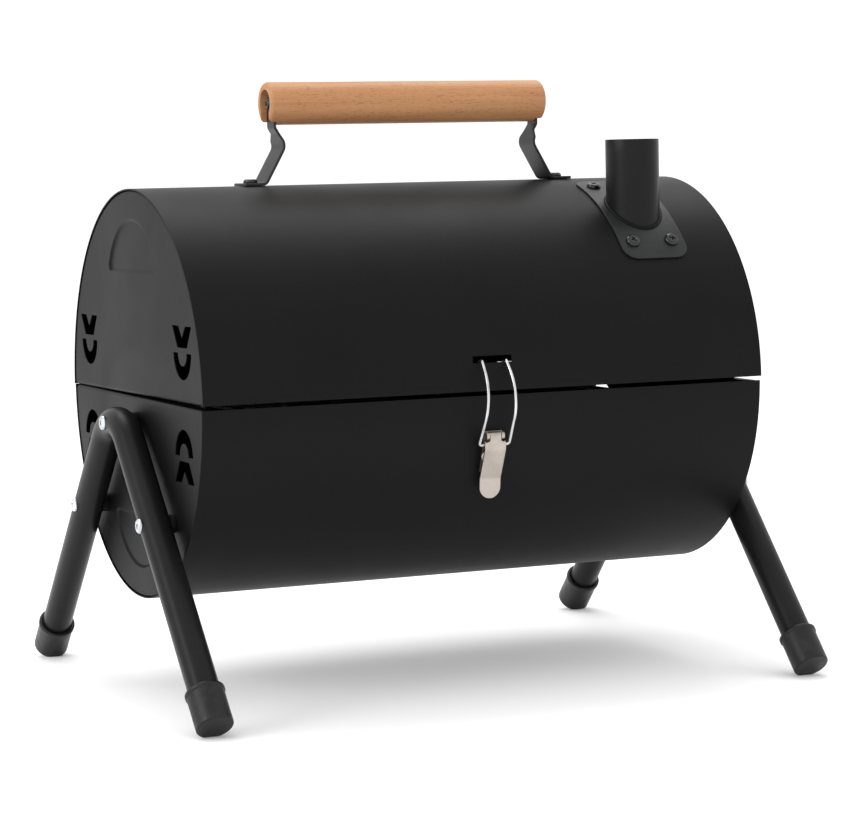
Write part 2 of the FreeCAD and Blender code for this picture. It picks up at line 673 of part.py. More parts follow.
def chimney_saddle():
    """Curved plate welded round the pipe, with four screw holes and rounded corners."""
    swing = math.degrees(SADDLE_ARC / 2 / LID_RADIUS)
    x_range = (CHIMNEY_X - SADDLE_WIDTH / 2, CHIMNEY_X + SADDLE_WIDTH / 2)
    outer = LID_RADIUS + SADDLE_THICKNESS
    plate = curved_plate(x_range, LID_RADIUS, outer, (CHIMNEY_ANGLE - swing, CHIMNEY_ANGLE + swing))
    corners = [edge for edge in plate.Edges if edge.Length < SADDLE_THICKNESS * 1.1]
    plate = plate.makeFillet(SADDLE_CORNER, corners)
    cutters = [rod(V(CHIMNEY_X, CHIMNEY_Y, AXIS_Z), V(CHIMNEY_X, CHIMNEY_Y, CROWN_Z + GRIP_RISE),
                   CHIMNEY_DIAMETER / 2)]
    for point, direction in saddle_screw_places(LID_RADIUS):
        cutters.append(screw_hole(point, direction, SCREW_DIAMETER / 2, 20))
    return plate.cut(cutters)


def chimney_screws():
    """Four screws through the saddle and the lid."""
    reach = SADDLE_THICKNESS + SHEET + NUT_HEIGHT + SCREW_END
    return [screw(point, direction, reach)
            for point, direction in saddle_screw_places(LID_RADIUS + SADDLE_THICKNESS)]


def chimney_nuts():
    """Four nuts inside the lid."""
    radius = LID_RADIUS - SHEET
    return [nut(point - direction * nut_lift(radius), direction * -1)
            for point, direction in saddle_screw_places(radius)]


# ---------------------------------------------------------------- handle

def handle_grip():
    """Wooden grip with a round recess in each end and a notch below it for the strap."""
    start, end = V(-GRIP_END, 0, GRIP_Z), V(GRIP_END, 0, GRIP_Z)
    radius = GRIP_DIAMETER / 2
    grip = rod(start, end, radius)
    ends = [edge for edge in grip.Edges if edge.BoundBox.XLength < 1e-3]
    grip = grip.makeFillet(GRIP_ROUNDING, ends)
    cutters = []
    half_notch = STRAP_TAB_WIDTH / 2 + TAB_SIDE_GAP
    for side in (-1, 1):
        face = V(side * GRIP_END, 0, GRIP_Z)
        floor = V(side * (GRIP_END - GRIP_RECESS_DEPTH), 0, GRIP_Z)
        cutters.append(rod(face, floor, GRIP_RECESS_DIAMETER / 2))
        cutters.append(box(sorted((face.x, floor.x)), (-half_notch, half_notch),
                           (GRIP_Z - GRIP_DIAMETER, GRIP_Z)))
        pilot = floor - X_AXIS * side * (GRIP_SCREW_LENGTH - STRAP_THICKNESS)
        cutters.append(rod(floor, pilot, GRIP_SCREW_DIAMETER / 2))
    return grip.cut(cutters)


def strap_tab_x():
    """X of the middle of the strap where it lies on the floor of the grip's recess."""
    return GRIP_END - GRIP_RECESS_DEPTH + STRAP_THICKNESS / 2


def handle_strap():
    """Bent steel strap at +X, from its foot on the lid up into the end of the grip."""
    foot_z = CROWN_Z + STRAP_THICKNESS / 2
    heel = GRIP_END + STRAP_HEEL_OUTSET
    underside = GRIP_Z - GRIP_DIAMETER / 2
    neck_z = underside - STRAP_NECK_DROP
    shoulder_z = underside - STRAP_SHOULDER_DROP
    tab_top = GRIP_Z + STRAP_TAB_WIDTH / 2
    points = [V(heel + STRAP_FOOT, 0, foot_z), V(heel, 0, foot_z),
              V(GRIP_END - STRAP_ELBOW_INSET, 0, CROWN_Z + STRAP_ELBOW_RISE),
              V(GRIP_END - STRAP_NECK_INSET, 0, neck_z),
              V(strap_tab_x(), 0, shoulder_z), V(strap_tab_x(), 0, tab_top)]
    radii = [STRAP_BEND, STRAP_BEND * 2, STRAP_BEND, STRAP_BEND]
    strap = bent_strip(points, radii, STRAP_THICKNESS, STRAP_WIDTH, Y_AXIS)
    half_wide, half_tab = STRAP_WIDTH / 2, STRAP_TAB_WIDTH / 2
    edge = half_wide - half_tab
    cutters = []
    for side in (-1, 1):
        outline = [V(0, side * half_tab, tab_top + 1), V(0, side * half_tab, neck_z),
                   V(0, side * (half_wide + 1), neck_z - edge), V(0, side * (half_wide + 1), tab_top + 1)]
        cutters.append(prism(outline, X_AXIS * HALF_LENGTH))
    lid_round = tab_top - half_tab
    crown = box((0, HALF_LENGTH), (-half_tab, half_tab), (lid_round, tab_top + 1))
    cutters.append(crown.cut(rod(V(0, 0, lid_round), V(HALF_LENGTH, 0, lid_round), half_tab)))
    cutters.append(screw_hole(V(foot_screw_x(), 0, foot_z), Z_AXIS, SCREW_DIAMETER / 2, 20))
    cutters.append(screw_hole(V(strap_tab_x(), 0, GRIP_Z), X_AXIS, GRIP_SCREW_DIAMETER / 2, 10))
    return strap.cut(cutters)


def foot_screws():
    """One screw through each strap's foot and the crown of the lid."""
    reach = STRAP_THICKNESS + SHEET + NUT_HEIGHT + SCREW_END
    return both_ends([screw(V(foot_screw_x(), 0, CROWN_Z + STRAP_THICKNESS), Z_AXIS, reach)])


def foot_nuts():
    """The nuts of the foot screws, inside the lid."""
    z = CROWN_Z - SHEET - nut_lift(LID_RADIUS - SHEET)
    return both_ends([nut(V(foot_screw_x(), 0, z), Z_AXIS * -1)])


def grip_screws():
    """One wood screw through each strap into the end of the grip."""
    seat = V(strap_tab_x() + STRAP_THICKNESS / 2, 0, GRIP_Z)
    return both_ends([screw(seat, X_AXIS, GRIP_SCREW_LENGTH, GRIP_SCREW_DIAMETER, GRIP_SCREW_HEAD)])


# ---------------------------------------------------------------- hinges

def knuckles(ranges):
    """Rings about the hinge pin over some X ranges."""
    return [rod(V(low, HINGE_Y, AXIS_Z), V(high, HINGE_Y, AXIS_Z), KNUCKLE_RADIUS) for low, high in ranges]


def pin_bore():
    """Cutter for the hinge pin at +X."""
    half = HINGE_WIDTH / 2 + 5
    return rod(V(HINGE_X - half, HINGE_Y, AXIS_Z), V(HINGE_X + half, HINGE_Y, AXIS_Z),
               HINGE_PIN_DIAMETER / 2 + PIN_CLEARANCE)


def hinge_leaf(radius, above, webs, first):
    """Leaf at +X: a curved plate, a web to each knuckle, the knuckles and two rivet holes."""
    x_range = (HINGE_X - HINGE_WIDTH / 2, HINGE_X + HINGE_WIDTH / 2)
    plate = curved_plate(x_range, radius, radius + LEAF_THICKNESS, leaf_angles(radius, above))
    ranges = knuckle_ranges(first)
    links = [prism([V(low, y, AXIS_Z + z) for y, z in webs], V(high - low, 0, 0)) for low, high in ranges]
    leaf = fused([plate] + links + knuckles(ranges))
    holes = [screw_hole(point, direction, RIVET_DIAMETER / 2, 20)
             for point, direction in leaf_rivet_places(radius, above)]
    return leaf.cut(holes + [pin_bore()])


def hinge_lid_leaf():
    """Leaf on the lid at +X, with the second and fourth knuckles."""
    low = LID_RADIUS + WEB_GAP
    high = low + LEAF_THICKNESS
    top = LEAF_EDGE + LEAF_THICKNESS
    return hinge_leaf(LID_RADIUS, True, [(low, 0), (high, 0), (high, top), (low, top)], 1)


def hinge_body_leaf():
    """Leaf on the body at +X, with the other three knuckles on a joggled web."""
    low = BODY_RADIUS + WEB_GAP
    high = low + LEAF_THICKNESS
    bottom = -LEAF_EDGE - LEAF_THICKNESS
    webs = [(low, bottom), (high, bottom), (HINGE_Y, -KNUCKLE_RADIUS * 0.9),
            (HINGE_Y - KNUCKLE_RADIUS * 0.95, 0), (low, -HALF_GAP)]
    return hinge_leaf(BODY_RADIUS, False, webs, 0)


def hinge_pin():
    """Pin at +X with a flat head at each end."""
    half = HINGE_WIDTH / 2
    middle = V(HINGE_X, HINGE_Y, AXIS_Z)
    ends = [(-half, -half - HINGE_PIN_HEAD), (half, half + HINGE_PIN_HEAD)]
    heads = [rod(middle + X_AXIS * a, middle + X_AXIS * b, KNUCKLE_RADIUS) for a, b in ends]
    shank = rod(middle - X_AXIS * half, middle + X_AXIS * half, HINGE_PIN_DIAMETER / 2)
    return fused([shank] + heads)


def leaf_rivets(radius, above):
    """Rivets of both leaves on the lid or on the body."""
    grip = LEAF_THICKNESS + SHEET
    lift = rivet_lift(radius - SHEET)
    return both_ends([rivet(point, direction, grip, lift)
                      for point, direction in leaf_rivet_places(radius, above)])


# ---------------------------------------------------------------- latch

def latch_pin_point(x=0.0):
    """Point on the axis of the latch pin."""
    return at_drop(x, LATCH_PIN_RADIUS, LATCH_PIN_DROP)


def latch_rivet_places():
    """Point on the base's face and outward direction of each latch rivet."""
    radius = BODY_RADIUS + LATCH_SHEET
    angle = drop_angle(radius, LATCH_PIN_DROP + LATCH_RIVET_DROP)
    return [(on_drum(side * LATCH_RIVET_SPREAD / 2, radius, angle), outward(angle)) for side in (-1, 1)]


def latch_bore(clearance=0.0):
    """Cutter for the latch pin."""
    return rod(latch_pin_point(-LEVER_WIDTH), latch_pin_point(LEVER_WIDTH),
               LATCH_PIN_DIAMETER / 2 + clearance)


def latch_base():
    """Curved base plate with two knuckles for the lever's pin."""
    inner, outer = BODY_RADIUS, BODY_RADIUS + LATCH_SHEET
    half = LEVER_WIDTH / 2 - LATCH_SHEET
    pin_angle = drop_angle(LATCH_PIN_RADIUS, LATCH_PIN_DROP)
    low = drop_angle(outer, LATCH_PIN_DROP + LATCH_BASE_DROP)
    pieces = [curved_plate((-half, half), inner, outer, (low, pin_angle + 1))]
    roll_side = LATCH_ROLL_WIDTH / 2 + LATCH_SIDE_GAP
    for x_range in ((-half, -roll_side), (roll_side, half)):
        start, end = latch_pin_point(x_range[0]), latch_pin_point(x_range[1])
        pieces.append(rod(start, end, LATCH_KNUCKLE_RADIUS))
        web = (pin_angle - 0.6, pin_angle + 0.6)
        pieces.append(curved_plate(x_range, inner, LATCH_PIN_RADIUS, web))
    holes = [screw_hole(point, direction, RIVET_DIAMETER / 2, 20)
             for point, direction in latch_rivet_places()]
    return fused(pieces).cut(holes + [latch_bore()])


def latch_rivets():
    """Two rivets that hold the base to the body."""
    lift = rivet_lift(BODY_RADIUS - SHEET)
    return [rivet(point, direction, LATCH_SHEET + SHEET, lift) for point, direction in latch_rivet_places()]


def latch_pin():
    """Pin fixed in the base's knuckles, which the lever's roll turns on."""
    half = LEVER_WIDTH / 2 - LATCH_SHEET
    return rod(latch_pin_point(-half), latch_pin_point(half), LATCH_PIN_DIAMETER / 2)


def bail_pivot(x=0.0):
    """Point on the axis of the bail's pivot in the lever."""
    return at_drop(x, LATCH_PIN_RADIUS + WIRE_PIVOT_OUT, LATCH_PIN_DROP + WIRE_PIVOT_DROP)


def latch_lever():
    """Lever: a roll round the pin, a bent plate with a kicked-out tip, and two ears for the bail."""
    pin = latch_pin_point()
    start_radius = LATCH_PIN_RADIUS + LATCH_KNUCKLE_RADIUS - LATCH_SHEET / 2
    tip = LATCH_PIN_DROP + LEVER_LENGTH
    points = [at_drop(0, start_radius, LATCH_PIN_DROP),
              at_drop(0, start_radius + LEVER_KNEE_OUT, LATCH_PIN_DROP + LEVER_KNEE),
              at_drop(0, start_radius - LEVER_DIP, tip - LEVER_KICK),
              at_drop(0, start_radius + LEVER_TIP_OUT, tip)]
    plate = bent_strip(points, [LEVER_BEND, LEVER_BEND], LATCH_SHEET, LEVER_WIDTH, X_AXIS)
    half = LEVER_WIDTH / 2
    half_roll = LATCH_ROLL_WIDTH / 2
    top, shoulder, bottom = (pin.z + LATCH_KNUCKLE_RADIUS, pin.z - LEVER_SHOULDER, AXIS_Z - tip)
    depth = Y_AXIS * BODY_RADIUS
    face = [V(-half_roll, pin.y - BODY_RADIUS / 2, top), V(half_roll, pin.y - BODY_RADIUS / 2, top)]
    face += [V(half_roll, face[0].y, shoulder), V(half, face[0].y, shoulder),
             V(half, face[0].y, bottom + half), V(-half, face[0].y, bottom + half),
             V(-half, face[0].y, shoulder), V(-half_roll, face[0].y, shoulder)]
    end = V(0, face[0].y, bottom + half)
    plate = plate.common(prism(face, depth).fuse(rod(end, end + depth, half)))
    roll = rod(latch_pin_point(-half_roll), latch_pin_point(half_roll), LATCH_KNUCKLE_RADIUS)
    pieces = [plate, roll]
    pivot = bail_pivot()
    for low in (-half, half - LATCH_SHEET):
        ear = Part.makeCylinder(EAR_RADIUS, LATCH_SHEET, V(low, pivot.y, pivot.z), X_AXIS)
        web = box((low, low + LATCH_SHEET), (points[1].y, pivot.y),
                  (pivot.z - EAR_RADIUS, pivot.z + EAR_RADIUS))
        pieces += [ear, web]
    wire_hole = rod(bail_pivot(-LEVER_WIDTH), bail_pivot(LEVER_WIDTH), WIRE_DIAMETER / 2 + PIN_CLEARANCE)
    return fused(pieces).cut([latch_bore(PIN_CLEARANCE), wire_hole])


def latch_bail():
    """Bent wire from the lever's ears, over the split, to the cross-bar in the lid's slot."""
    radius = WIRE_DIAMETER / 2
    hook_rise = SLOT_BOTTOM + WIRE_SLOT_GAP + radius
    inner = LEVER_WIDTH / 2 - LATCH_SHEET - WIRE_END_INSET
    low = LEVER_WIDTH / 2 + WIRE_LOW_GAP + radius
    high = LEVER_WIDTH / 2 + WIRE_HIGH_GAP + radius
    step = (low - high) / 3
    side = [bail_pivot(inner), bail_pivot(low),
            at_drop(low - step, BODY_RADIUS + WIRE_BOW_LOW, WIRE_BOW_DROP),
            at_drop(high + step, BODY_RADIUS + WIRE_BOW_HIGH, -WIRE_BOW_RISE),
            at_drop(high, LID_RADIUS + WIRE_HOOK_OUT, -hook_rise),
            at_drop(high, LID_RADIUS - SHEET / 2, -hook_rise)]
    other = [V(-point.x, point.y, point.z) for point in reversed(side)]
    radii = [WIRE_CORNER, WIRE_BOW_RADIUS, WIRE_BOW_RADIUS, WIRE_CORNER, WIRE_CORNER]
    return bent_rod(side + other, radii + radii[::-1], radius)


# ---------------------------------------------------------------- grids

def rod_loop(half_length, half_width, z):
    """Closed rectangle of round rod with rounded corners."""
    half = [V(0, -half_width, z), V(half_length, -half_width, z), V(half_length, half_width, z),
            V(0, half_width, z)]
    side = bent_rod(half, [FRAME_CORNER, FRAME_CORNER], FRAME_ROD / 2)
    return side.fuse(mirrored_x(side)).removeSplitter()


def grid_half_length():
    """Frame centre line to the middle of the barrel."""
    return FLANGE_END - GRID_END_GAP - FRAME_ROD / 2


def grid_half_width(drop, gap):
    """Frame centre line to the middle of the barrel, at a drop below the split."""
    lowest = drop + FRAME_ROD / 2
    return math.sqrt((BODY_RADIUS - SHEET) ** 2 - lowest ** 2) - gap - FRAME_ROD / 2


def grid_bars(drop, half_width, pitch):
    """Bars across the frame, welded on top of it, and two long bars below them."""
    top = AXIS_Z - drop + FRAME_ROD / 2 + BAR_ROD / 2 - WELD_SINK
    half_length = grid_half_length()
    count = int((2 * half_length - FRAME_ROD) // pitch)
    bars = []
    for step in range(count):
        x = (step - (count - 1) / 2) * pitch
        bars.append(rod(V(x, -half_width, top), V(x, half_width, top), BAR_ROD / 2))
    low = top - BAR_ROD + WELD_SINK
    end = half_length - FRAME_ROD / 2 + WELD_SINK
    for y in (-half_width / 3, half_width / 3):
        bars.append(rod(V(-end, y, low), V(end, y, low), BAR_ROD / 2))
    return bars


def ledge(drop, y, width):
    """Angle at +X, spot-welded inside the end plate, that carries a frame's end rod."""
    top = AXIS_Z - drop - FRAME_ROD / 2
    inner = grid_half_length() - FRAME_ROD / 2 - LEDGE_UNDER_ROD
    middle = top - LEDGE_THICKNESS / 2
    wall_x = END_INNER - LEDGE_THICKNESS / 2
    points = [V(inner, y, middle), V(wall_x, y, middle), V(wall_x, y, top - LEDGE_HEIGHT)]
    return bent_strip(points, [LEDGE_BEND], LEDGE_THICKNESS, width, Y_AXIS)


def grid_ledge_y():
    """Centre line of the cooking grid's ledges, clear of the vents."""
    vent_side = BODY_RADIUS - SHEET - VENT_INSET - CHEVRON_HALF_TOP
    return vent_side - GRID_LEDGE_VENT_GAP - GRID_LEDGE_WIDTH / 2


def grate_ledge_y():
    """Centre line of the charcoal grate's ledges, inside the grate's side rods."""
    return grid_half_width(GRATE_DROP, GRATE_SIDE_GAP) - GRATE_LEDGE_INSET


def ledges(drop, y, width):
    """The four ledges that carry one frame."""
    return both_ends([ledge(drop, -y, width), ledge(drop, y, width)])


# ---------------------------------------------------------------- assembly

def build():
    """Every node's name and shape."""
    nodes = {
        "lid_shell": lid_shell(),
        "chimney_pipe": chimney_pipe(),
        "chimney_saddle": chimney_saddle(),
        "chimney_screws": Part.makeCompound(chimney_screws()),
        "chimney_nuts": Part.makeCompound(chimney_nuts()),
        "handle_grip": handle_grip(),
        "handle_foot_screws": Part.makeCompound(foot_screws()),
        "handle_foot_nuts": Part.makeCompound(foot_nuts()),
        "handle_grip_screws": Part.makeCompound(grip_screws()),
        "hinge_lid_rivets": Part.makeCompound(leaf_rivets(LID_RADIUS, True)),
        "body_shell": body_shell(),
        "leg_spacers": Part.makeCompound(both_ends(leg_spacers())),
        "leg_screws": Part.makeCompound(both_ends(leg_screws())),
        "leg_nuts": Part.makeCompound(both_ends(leg_nuts())),
        "hinge_body_rivets": Part.makeCompound(leaf_rivets(BODY_RADIUS, False)),
        "latch_base": latch_base(),
        "latch_rivets": Part.makeCompound(latch_rivets()),
        "latch_pin": latch_pin(),
        "latch_lever": latch_lever(),
        "latch_bail": latch_bail(),
        "grid_ledges": Part.makeCompound(ledges(GRID_DROP, grid_ledge_y(), GRID_LEDGE_WIDTH)),
        "grate_ledges": Part.makeCompound(ledges(GRATE_DROP, grate_ledge_y(), GRATE_LEDGE_WIDTH)),
    }
    pairs = {
        "lid_end_plate": lid_end_plate(),
        "body_end_plate": body_end_plate(),
        "handle_strap": handle_strap(),
        "hinge_lid_leaf": hinge_lid_leaf(),
        "hinge_body_leaf": hinge_body_leaf(),
        "hinge_pin": hinge_pin(),
        "leg": leg(),
        "foot_cap_front": foot_cap(-1),
        "foot_cap_rear": foot_cap(1),
    }
    for name, shape in pairs.items():
        nodes[name + "_right"] = shape
        nodes[name + "_left"] = mirrored_x(shape)
    for name, drop, gap, pitch in (("cooking_grid", GRID_DROP, GRID_SIDE_GAP, GRID_PITCH),
                                   ("charcoal_grate", GRATE_DROP, GRATE_SIDE_GAP, GRATE_PITCH)):
        half_width = grid_half_width(drop, gap)
        nodes[name + "_frame"] = rod_loop(grid_half_length(), half_width, AXIS_Z - drop)
        nodes[name + "_bars"] = Part.makeCompound(grid_bars(drop, half_width, pitch))
    return nodes


os.makedirs("parts", exist_ok=True)
for node, solid in build().items():
    solid.exportStep("parts/" + node + ".step")
    print(node, len(solid.Solids), round(solid.Volume, 1), solid.isValid())
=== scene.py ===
"""Looks of a table-top barrel smoker: painted drum, beech grip, bent tube legs and draw latch.

Every sub-assembly is a class that holds its sizes in metres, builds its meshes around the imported
frame and dresses them with its finishes. The barrel lies along X and its front is -Y.
"""

from __future__ import annotations

import json
import logging
import math
import sys
from dataclasses import dataclass, field
from enum import Enum
from typing import Any, Iterable, Sequence

import bmesh
import bpy
from mathutils import Matrix, Vector
from mathutils.geometry import tessellate_polygon

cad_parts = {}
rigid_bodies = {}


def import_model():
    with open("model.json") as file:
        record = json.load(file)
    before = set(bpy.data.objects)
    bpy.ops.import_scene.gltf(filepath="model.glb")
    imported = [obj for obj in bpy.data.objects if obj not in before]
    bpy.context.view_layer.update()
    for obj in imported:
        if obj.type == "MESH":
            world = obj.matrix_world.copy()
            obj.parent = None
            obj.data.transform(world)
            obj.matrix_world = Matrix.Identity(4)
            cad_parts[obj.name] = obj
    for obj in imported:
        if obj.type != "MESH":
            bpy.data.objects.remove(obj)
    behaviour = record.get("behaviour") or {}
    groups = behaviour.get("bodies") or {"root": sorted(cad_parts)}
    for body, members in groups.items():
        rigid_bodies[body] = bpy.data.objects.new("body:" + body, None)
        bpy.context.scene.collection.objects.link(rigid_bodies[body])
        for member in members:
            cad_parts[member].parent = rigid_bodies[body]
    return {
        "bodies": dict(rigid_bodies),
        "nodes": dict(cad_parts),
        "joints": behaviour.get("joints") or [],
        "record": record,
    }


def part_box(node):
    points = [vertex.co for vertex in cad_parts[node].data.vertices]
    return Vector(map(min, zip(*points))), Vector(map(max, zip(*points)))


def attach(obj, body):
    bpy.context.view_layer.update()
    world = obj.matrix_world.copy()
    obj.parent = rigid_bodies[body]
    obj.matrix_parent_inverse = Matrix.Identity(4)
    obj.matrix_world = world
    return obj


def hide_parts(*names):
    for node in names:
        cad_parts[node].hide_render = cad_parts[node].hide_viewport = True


LOG = logging.getLogger("smoker")
Flat = tuple[float, float]
X_AXIS, Y_AXIS, Z_AXIS = Vector((1, 0, 0)), Vector((0, 1, 0)), Vector((0, 0, 1))


class Half(Enum):
    """The two halves of the barrel, by the direction in which they bulge."""

    LID = 1
    BODY = -1


class End(Enum):
    """The two ends of the barrel, by their direction along X."""

    LEFT = -1
    RIGHT = 1

    @property
    def word(self) -> str:
        """The end's name in lower case."""
        return self.name.lower()


# ---------------------------------------------------------------- plain meshes

def new_object(name: str, data: bpy.types.ID) -> bpy.types.Object:
    """Link a new object at the origin.

    Args:
        name: Name of the object.
        data: Mesh or curve that it shows.

    Returns:
        The new object.
    """
    obj = bpy.data.objects.new(name, data)
    bpy.context.scene.collection.objects.link(obj)
    return obj


def discard(obj: bpy.types.Object) -> None:
    """Remove a helper object."""
    bpy.data.objects.remove(obj, do_unlink=True)


def mesh_object(name: str, points: Sequence[Vector], faces: Iterable[Sequence[int]]) -> bpy.types.Object:
    """Make an object from corner points and faces, with coincident points merged.

    Args:
        name: Name of the object.
        points: Corner points.
        faces: Corner numbers of each face.

    Returns:
        The object, smooth shaded.
    """
    mesh = bpy.data.meshes.new(name)
    mesh.from_pydata([tuple(point) for point in points], [], [tuple(face) for face in faces])
    work = bmesh.new()
    work.from_mesh(mesh)
    bmesh.ops.remove_doubles(work, verts=work.verts, dist=1e-7)
    for face in work.faces:
        face.smooth = True
    work.to_mesh(mesh)
    work.free()
    return new_object(name, mesh)


def turned_out(obj: bpy.types.Object, towards: Vector | None = None) -> bpy.types.Object:
    """Turn the faces of a mesh outward.

    Args:
        obj: The mesh object, changed in place.
        towards: For an open surface, the side that its faces look to on the whole.

    Returns:
        The same object.
    """
    work = bmesh.new()
    work.from_mesh(obj.data)
    bmesh.ops.recalc_face_normals(work, faces=work.faces)
    if towards is not None:
        total = sum((face.normal * face.calc_area() for face in work.faces), Vector())
        if total.dot(towards) < 0:
            bmesh.ops.reverse_faces(work, faces=work.faces)
    work.to_mesh(obj.data)
    work.free()
    return obj


def loft(name: str, rings: Sequence[Sequence[Vector]], ends: bool = True,
         loop: bool = False) -> bpy.types.Object:
    """Skin a row of closed rings that have the same number of points.

    Args:
        name: Name of the object.
        rings: The rings in order.
        ends: Whether the first and last ring are filled.
        loop: Whether the last ring joins the first.

    Returns:
        The skinned object, faces outward when it is closed.
    """
    count = len(rings[0])
    points = [point for ring in rings for point in ring]
    faces: list[tuple[int, ...]] = []
    for row in range(len(rings) if loop else len(rings) - 1):
        low, high = row * count, (row + 1) % len(rings) * count
        faces += [(low + i, low + (i + 1) % count, high + (i + 1) % count, high + i) for i in range(count)]
    if ends and not loop:
        last = (len(rings) - 1) * count
        faces += [tuple(reversed(range(count))), tuple(range(last, last + count))]
    return turned_out(mesh_object(name, points, faces))


def lathe(name: str, profile: Sequence[Flat], base: Vector, axis: Vector, sides: int = 64,
          loop: bool = False) -> bpy.types.Object:
    """Turn a profile about an axis.

    Args:
        name: Name of the object.
        profile: Radius and height of each profile point; a radius of 0 makes a closed pole.
        base: Point on the axis at height 0.
        axis: Direction of the axis.
        sides: Points round each ring.
        loop: Whether the profile is closed, as in a tube.

    Returns:
        The turned object.
    """
    aim = axis.to_track_quat("Z", "Y")
    rings = []
    for radius, height in profile:
        turns = [2 * math.pi * step / sides for step in range(sides)]
        rings.append([base + aim @ Vector((radius * math.cos(t), radius * math.sin(t), height))
                      for t in turns])
    return loft(name, rings, ends=False, loop=loop)


def block(name: str, low: Vector, high: Vector) -> bpy.types.Object:
    """Box between two corners."""
    ring = [(low.x, low.y), (high.x, low.y), (high.x, high.y), (low.x, high.y)]
    return loft(name, [[Vector((x, y, z)) for x, y in ring] for z in (low.z, high.z)])


def joined(name: str, parts: Sequence[bpy.types.Object]) -> bpy.types.Object:
    """Put several meshes into one object and remove the single ones.

    Args:
        name: Name of the new object.
        parts: The mesh objects.

    Returns:
        The new object.
    """
    work = bmesh.new()
    for part in parts:
        work.from_mesh(part.data)
    mesh = bpy.data.meshes.new(name)
    work.to_mesh(mesh)
    work.free()
    for part in parts:
        discard(part)
    return new_object(name, mesh)


def settled(obj: bpy.types.Object) -> bpy.types.Object:
    """Turn an object's modifiers into plain mesh.

    Args:
        obj: The object, changed in place.

    Returns:
        The same object, with no modifiers.
    """
    bpy.context.view_layer.update()
    graph = bpy.context.evaluated_depsgraph_get()
    mesh = bpy.data.meshes.new_from_object(obj.evaluated_get(graph), depsgraph=graph)
    obj.modifiers.clear()
    obj.data = mesh
    return obj


def cut(obj: bpy.types.Object, cutters: Sequence[bpy.types.Object]) -> bpy.types.Object:
    """Cut closed shapes out of a closed mesh.

    Args:
        obj: The mesh object, changed in place.
        cutters: The shapes to take away; they are removed afterwards.

    Returns:
        The same object.
    """
    for cutter in cutters:
        tool = obj.modifiers.new("cut", "BOOLEAN")
        tool.operation, tool.solver, tool.object = "DIFFERENCE", "EXACT", cutter
    settled(obj)
    for cutter in cutters:
        discard(cutter)
    return obj


def walled(obj: bpy.types.Object, thickness: float, outward: bool = False) -> bpy.types.Object:
    """Give an open surface a wall.

    Args:
        obj: The surface, changed in place.
        thickness: Thickness of the wall.
        outward: Whether the wall grows out of the faces, not behind them.

    Returns:
        The same object, closed.
    """
    wall = obj.modifiers.new("wall", "SOLIDIFY")
    wall.thickness, wall.offset = thickness, 1.0 if outward else -1.0
    wall.use_even_offset = wall.use_quality_normals = True
    return settled(obj)


def eased(obj: bpy.types.Object, width: float, angle: float = 40.0, segments: int = 2) -> bpy.types.Object:
    """Round the sharp edges of a mesh a little and even out its shading.

    Args:
        obj: The mesh object, changed in place.
        width: Width of the rounding.
        angle: Least turn in degrees that counts as a sharp edge.
        segments: Steps across the rounding.

    Returns:
        The same object.
    """
    for face in obj.data.polygons:
        face.use_smooth = True
    edge = obj.modifiers.new("ease", "BEVEL")
    edge.width, edge.segments, edge.limit_method = width, segments, "ANGLE"
    edge.angle_limit, edge.use_clamp_overlap = math.radians(angle), True
    weight = obj.modifiers.new("even", "WEIGHTED_NORMAL")
    weight.keep_sharp = False
    return settled(obj)


def sharpened(obj: bpy.types.Object, angle: float = 35.0) -> bpy.types.Object:
    """Smooth shading that stops at edges over an angle in degrees.

    Args:
        obj: The mesh object, changed in place.
        angle: Least turn that stays sharp.

    Returns:
        The same object.
    """
    for face in obj.data.polygons:
        face.use_smooth = True
    obj.data.set_sharp_from_angle(angle=math.radians(angle))
    return obj


def rounded(points: Sequence[Vector], bends: Sequence[float], steps: int = 6) -> list[Vector]:
    """Round the inner corners of an open run of straight lines.

    Args:
        points: Corner points.
        bends: Bend radius at each inner corner.
        steps: Pieces in each bend.

    Returns:
        Points along the rounded path.
    """
    path = [points[0]]
    for before, corner, after, bend in zip(points, points[1:], points[2:], bends):
        into, out = (before - corner).normalized(), (after - corner).normalized()
        half = into.angle(out) / 2
        reach = min(bend / math.tan(half), 0.49 * (before - corner).length, 0.49 * (after - corner).length)
        radius = reach * math.tan(half)
        centre = corner + (into + out).normalized() * (radius / math.sin(half))
        start = (corner + into * reach - centre).normalized()
        end = (corner + out * reach - centre).normalized()
        for step in range(steps + 1):
            path.append(centre + start.slerp(end, step / steps) * radius)
    return path + [points[-1]]


def subdivided(path: Sequence[Vector], step: float) -> list[Vector]:
    """Split the pieces of a path so that its width can change smoothly along it.

    Args:
        path: Points along the path.
        step: About how far apart the new points are.

    Returns:
        The path with the points added.
    """
    fine = [path[0]]
    for point in path[1:]:
        start = fine[-1]
        pieces = max(1, round((point - start).length / step))
        fine += [start.lerp(point, (i + 1) / pieces) for i in range(pieces)]
    return fine


def quarter_turn(steps: int) -> list[float]:
    """Angles from 0 to a right angle in so many steps."""
    return [math.pi / 2 * step / steps for step in range(steps + 1)]


def strip(name: str, path: Sequence[Vector], across: Vector, halves: Sequence[float],
          thickness: float) -> bpy.types.Object:
    """Flat strip along a path.

    Args:
        name: Name of the object.
        path: Centre line.
        across: Direction of the strip's width.
        halves: Half width at each path point.
        thickness: Thickness of the strip.

    Returns:
        The closed strip.
    """
    rings = []
    for i, point in enumerate(path):
        run = (path[min(i + 1, len(path) - 1)] - path[max(i - 1, 0)]).normalized()
        up, over = across.cross(run) * (thickness / 2), across * halves[i]
        rings.append([point + up + over, point + up - over, point - up - over, point - up + over])
    return loft(name, rings)


# ---------------------------------------------------------------- geometry node trees

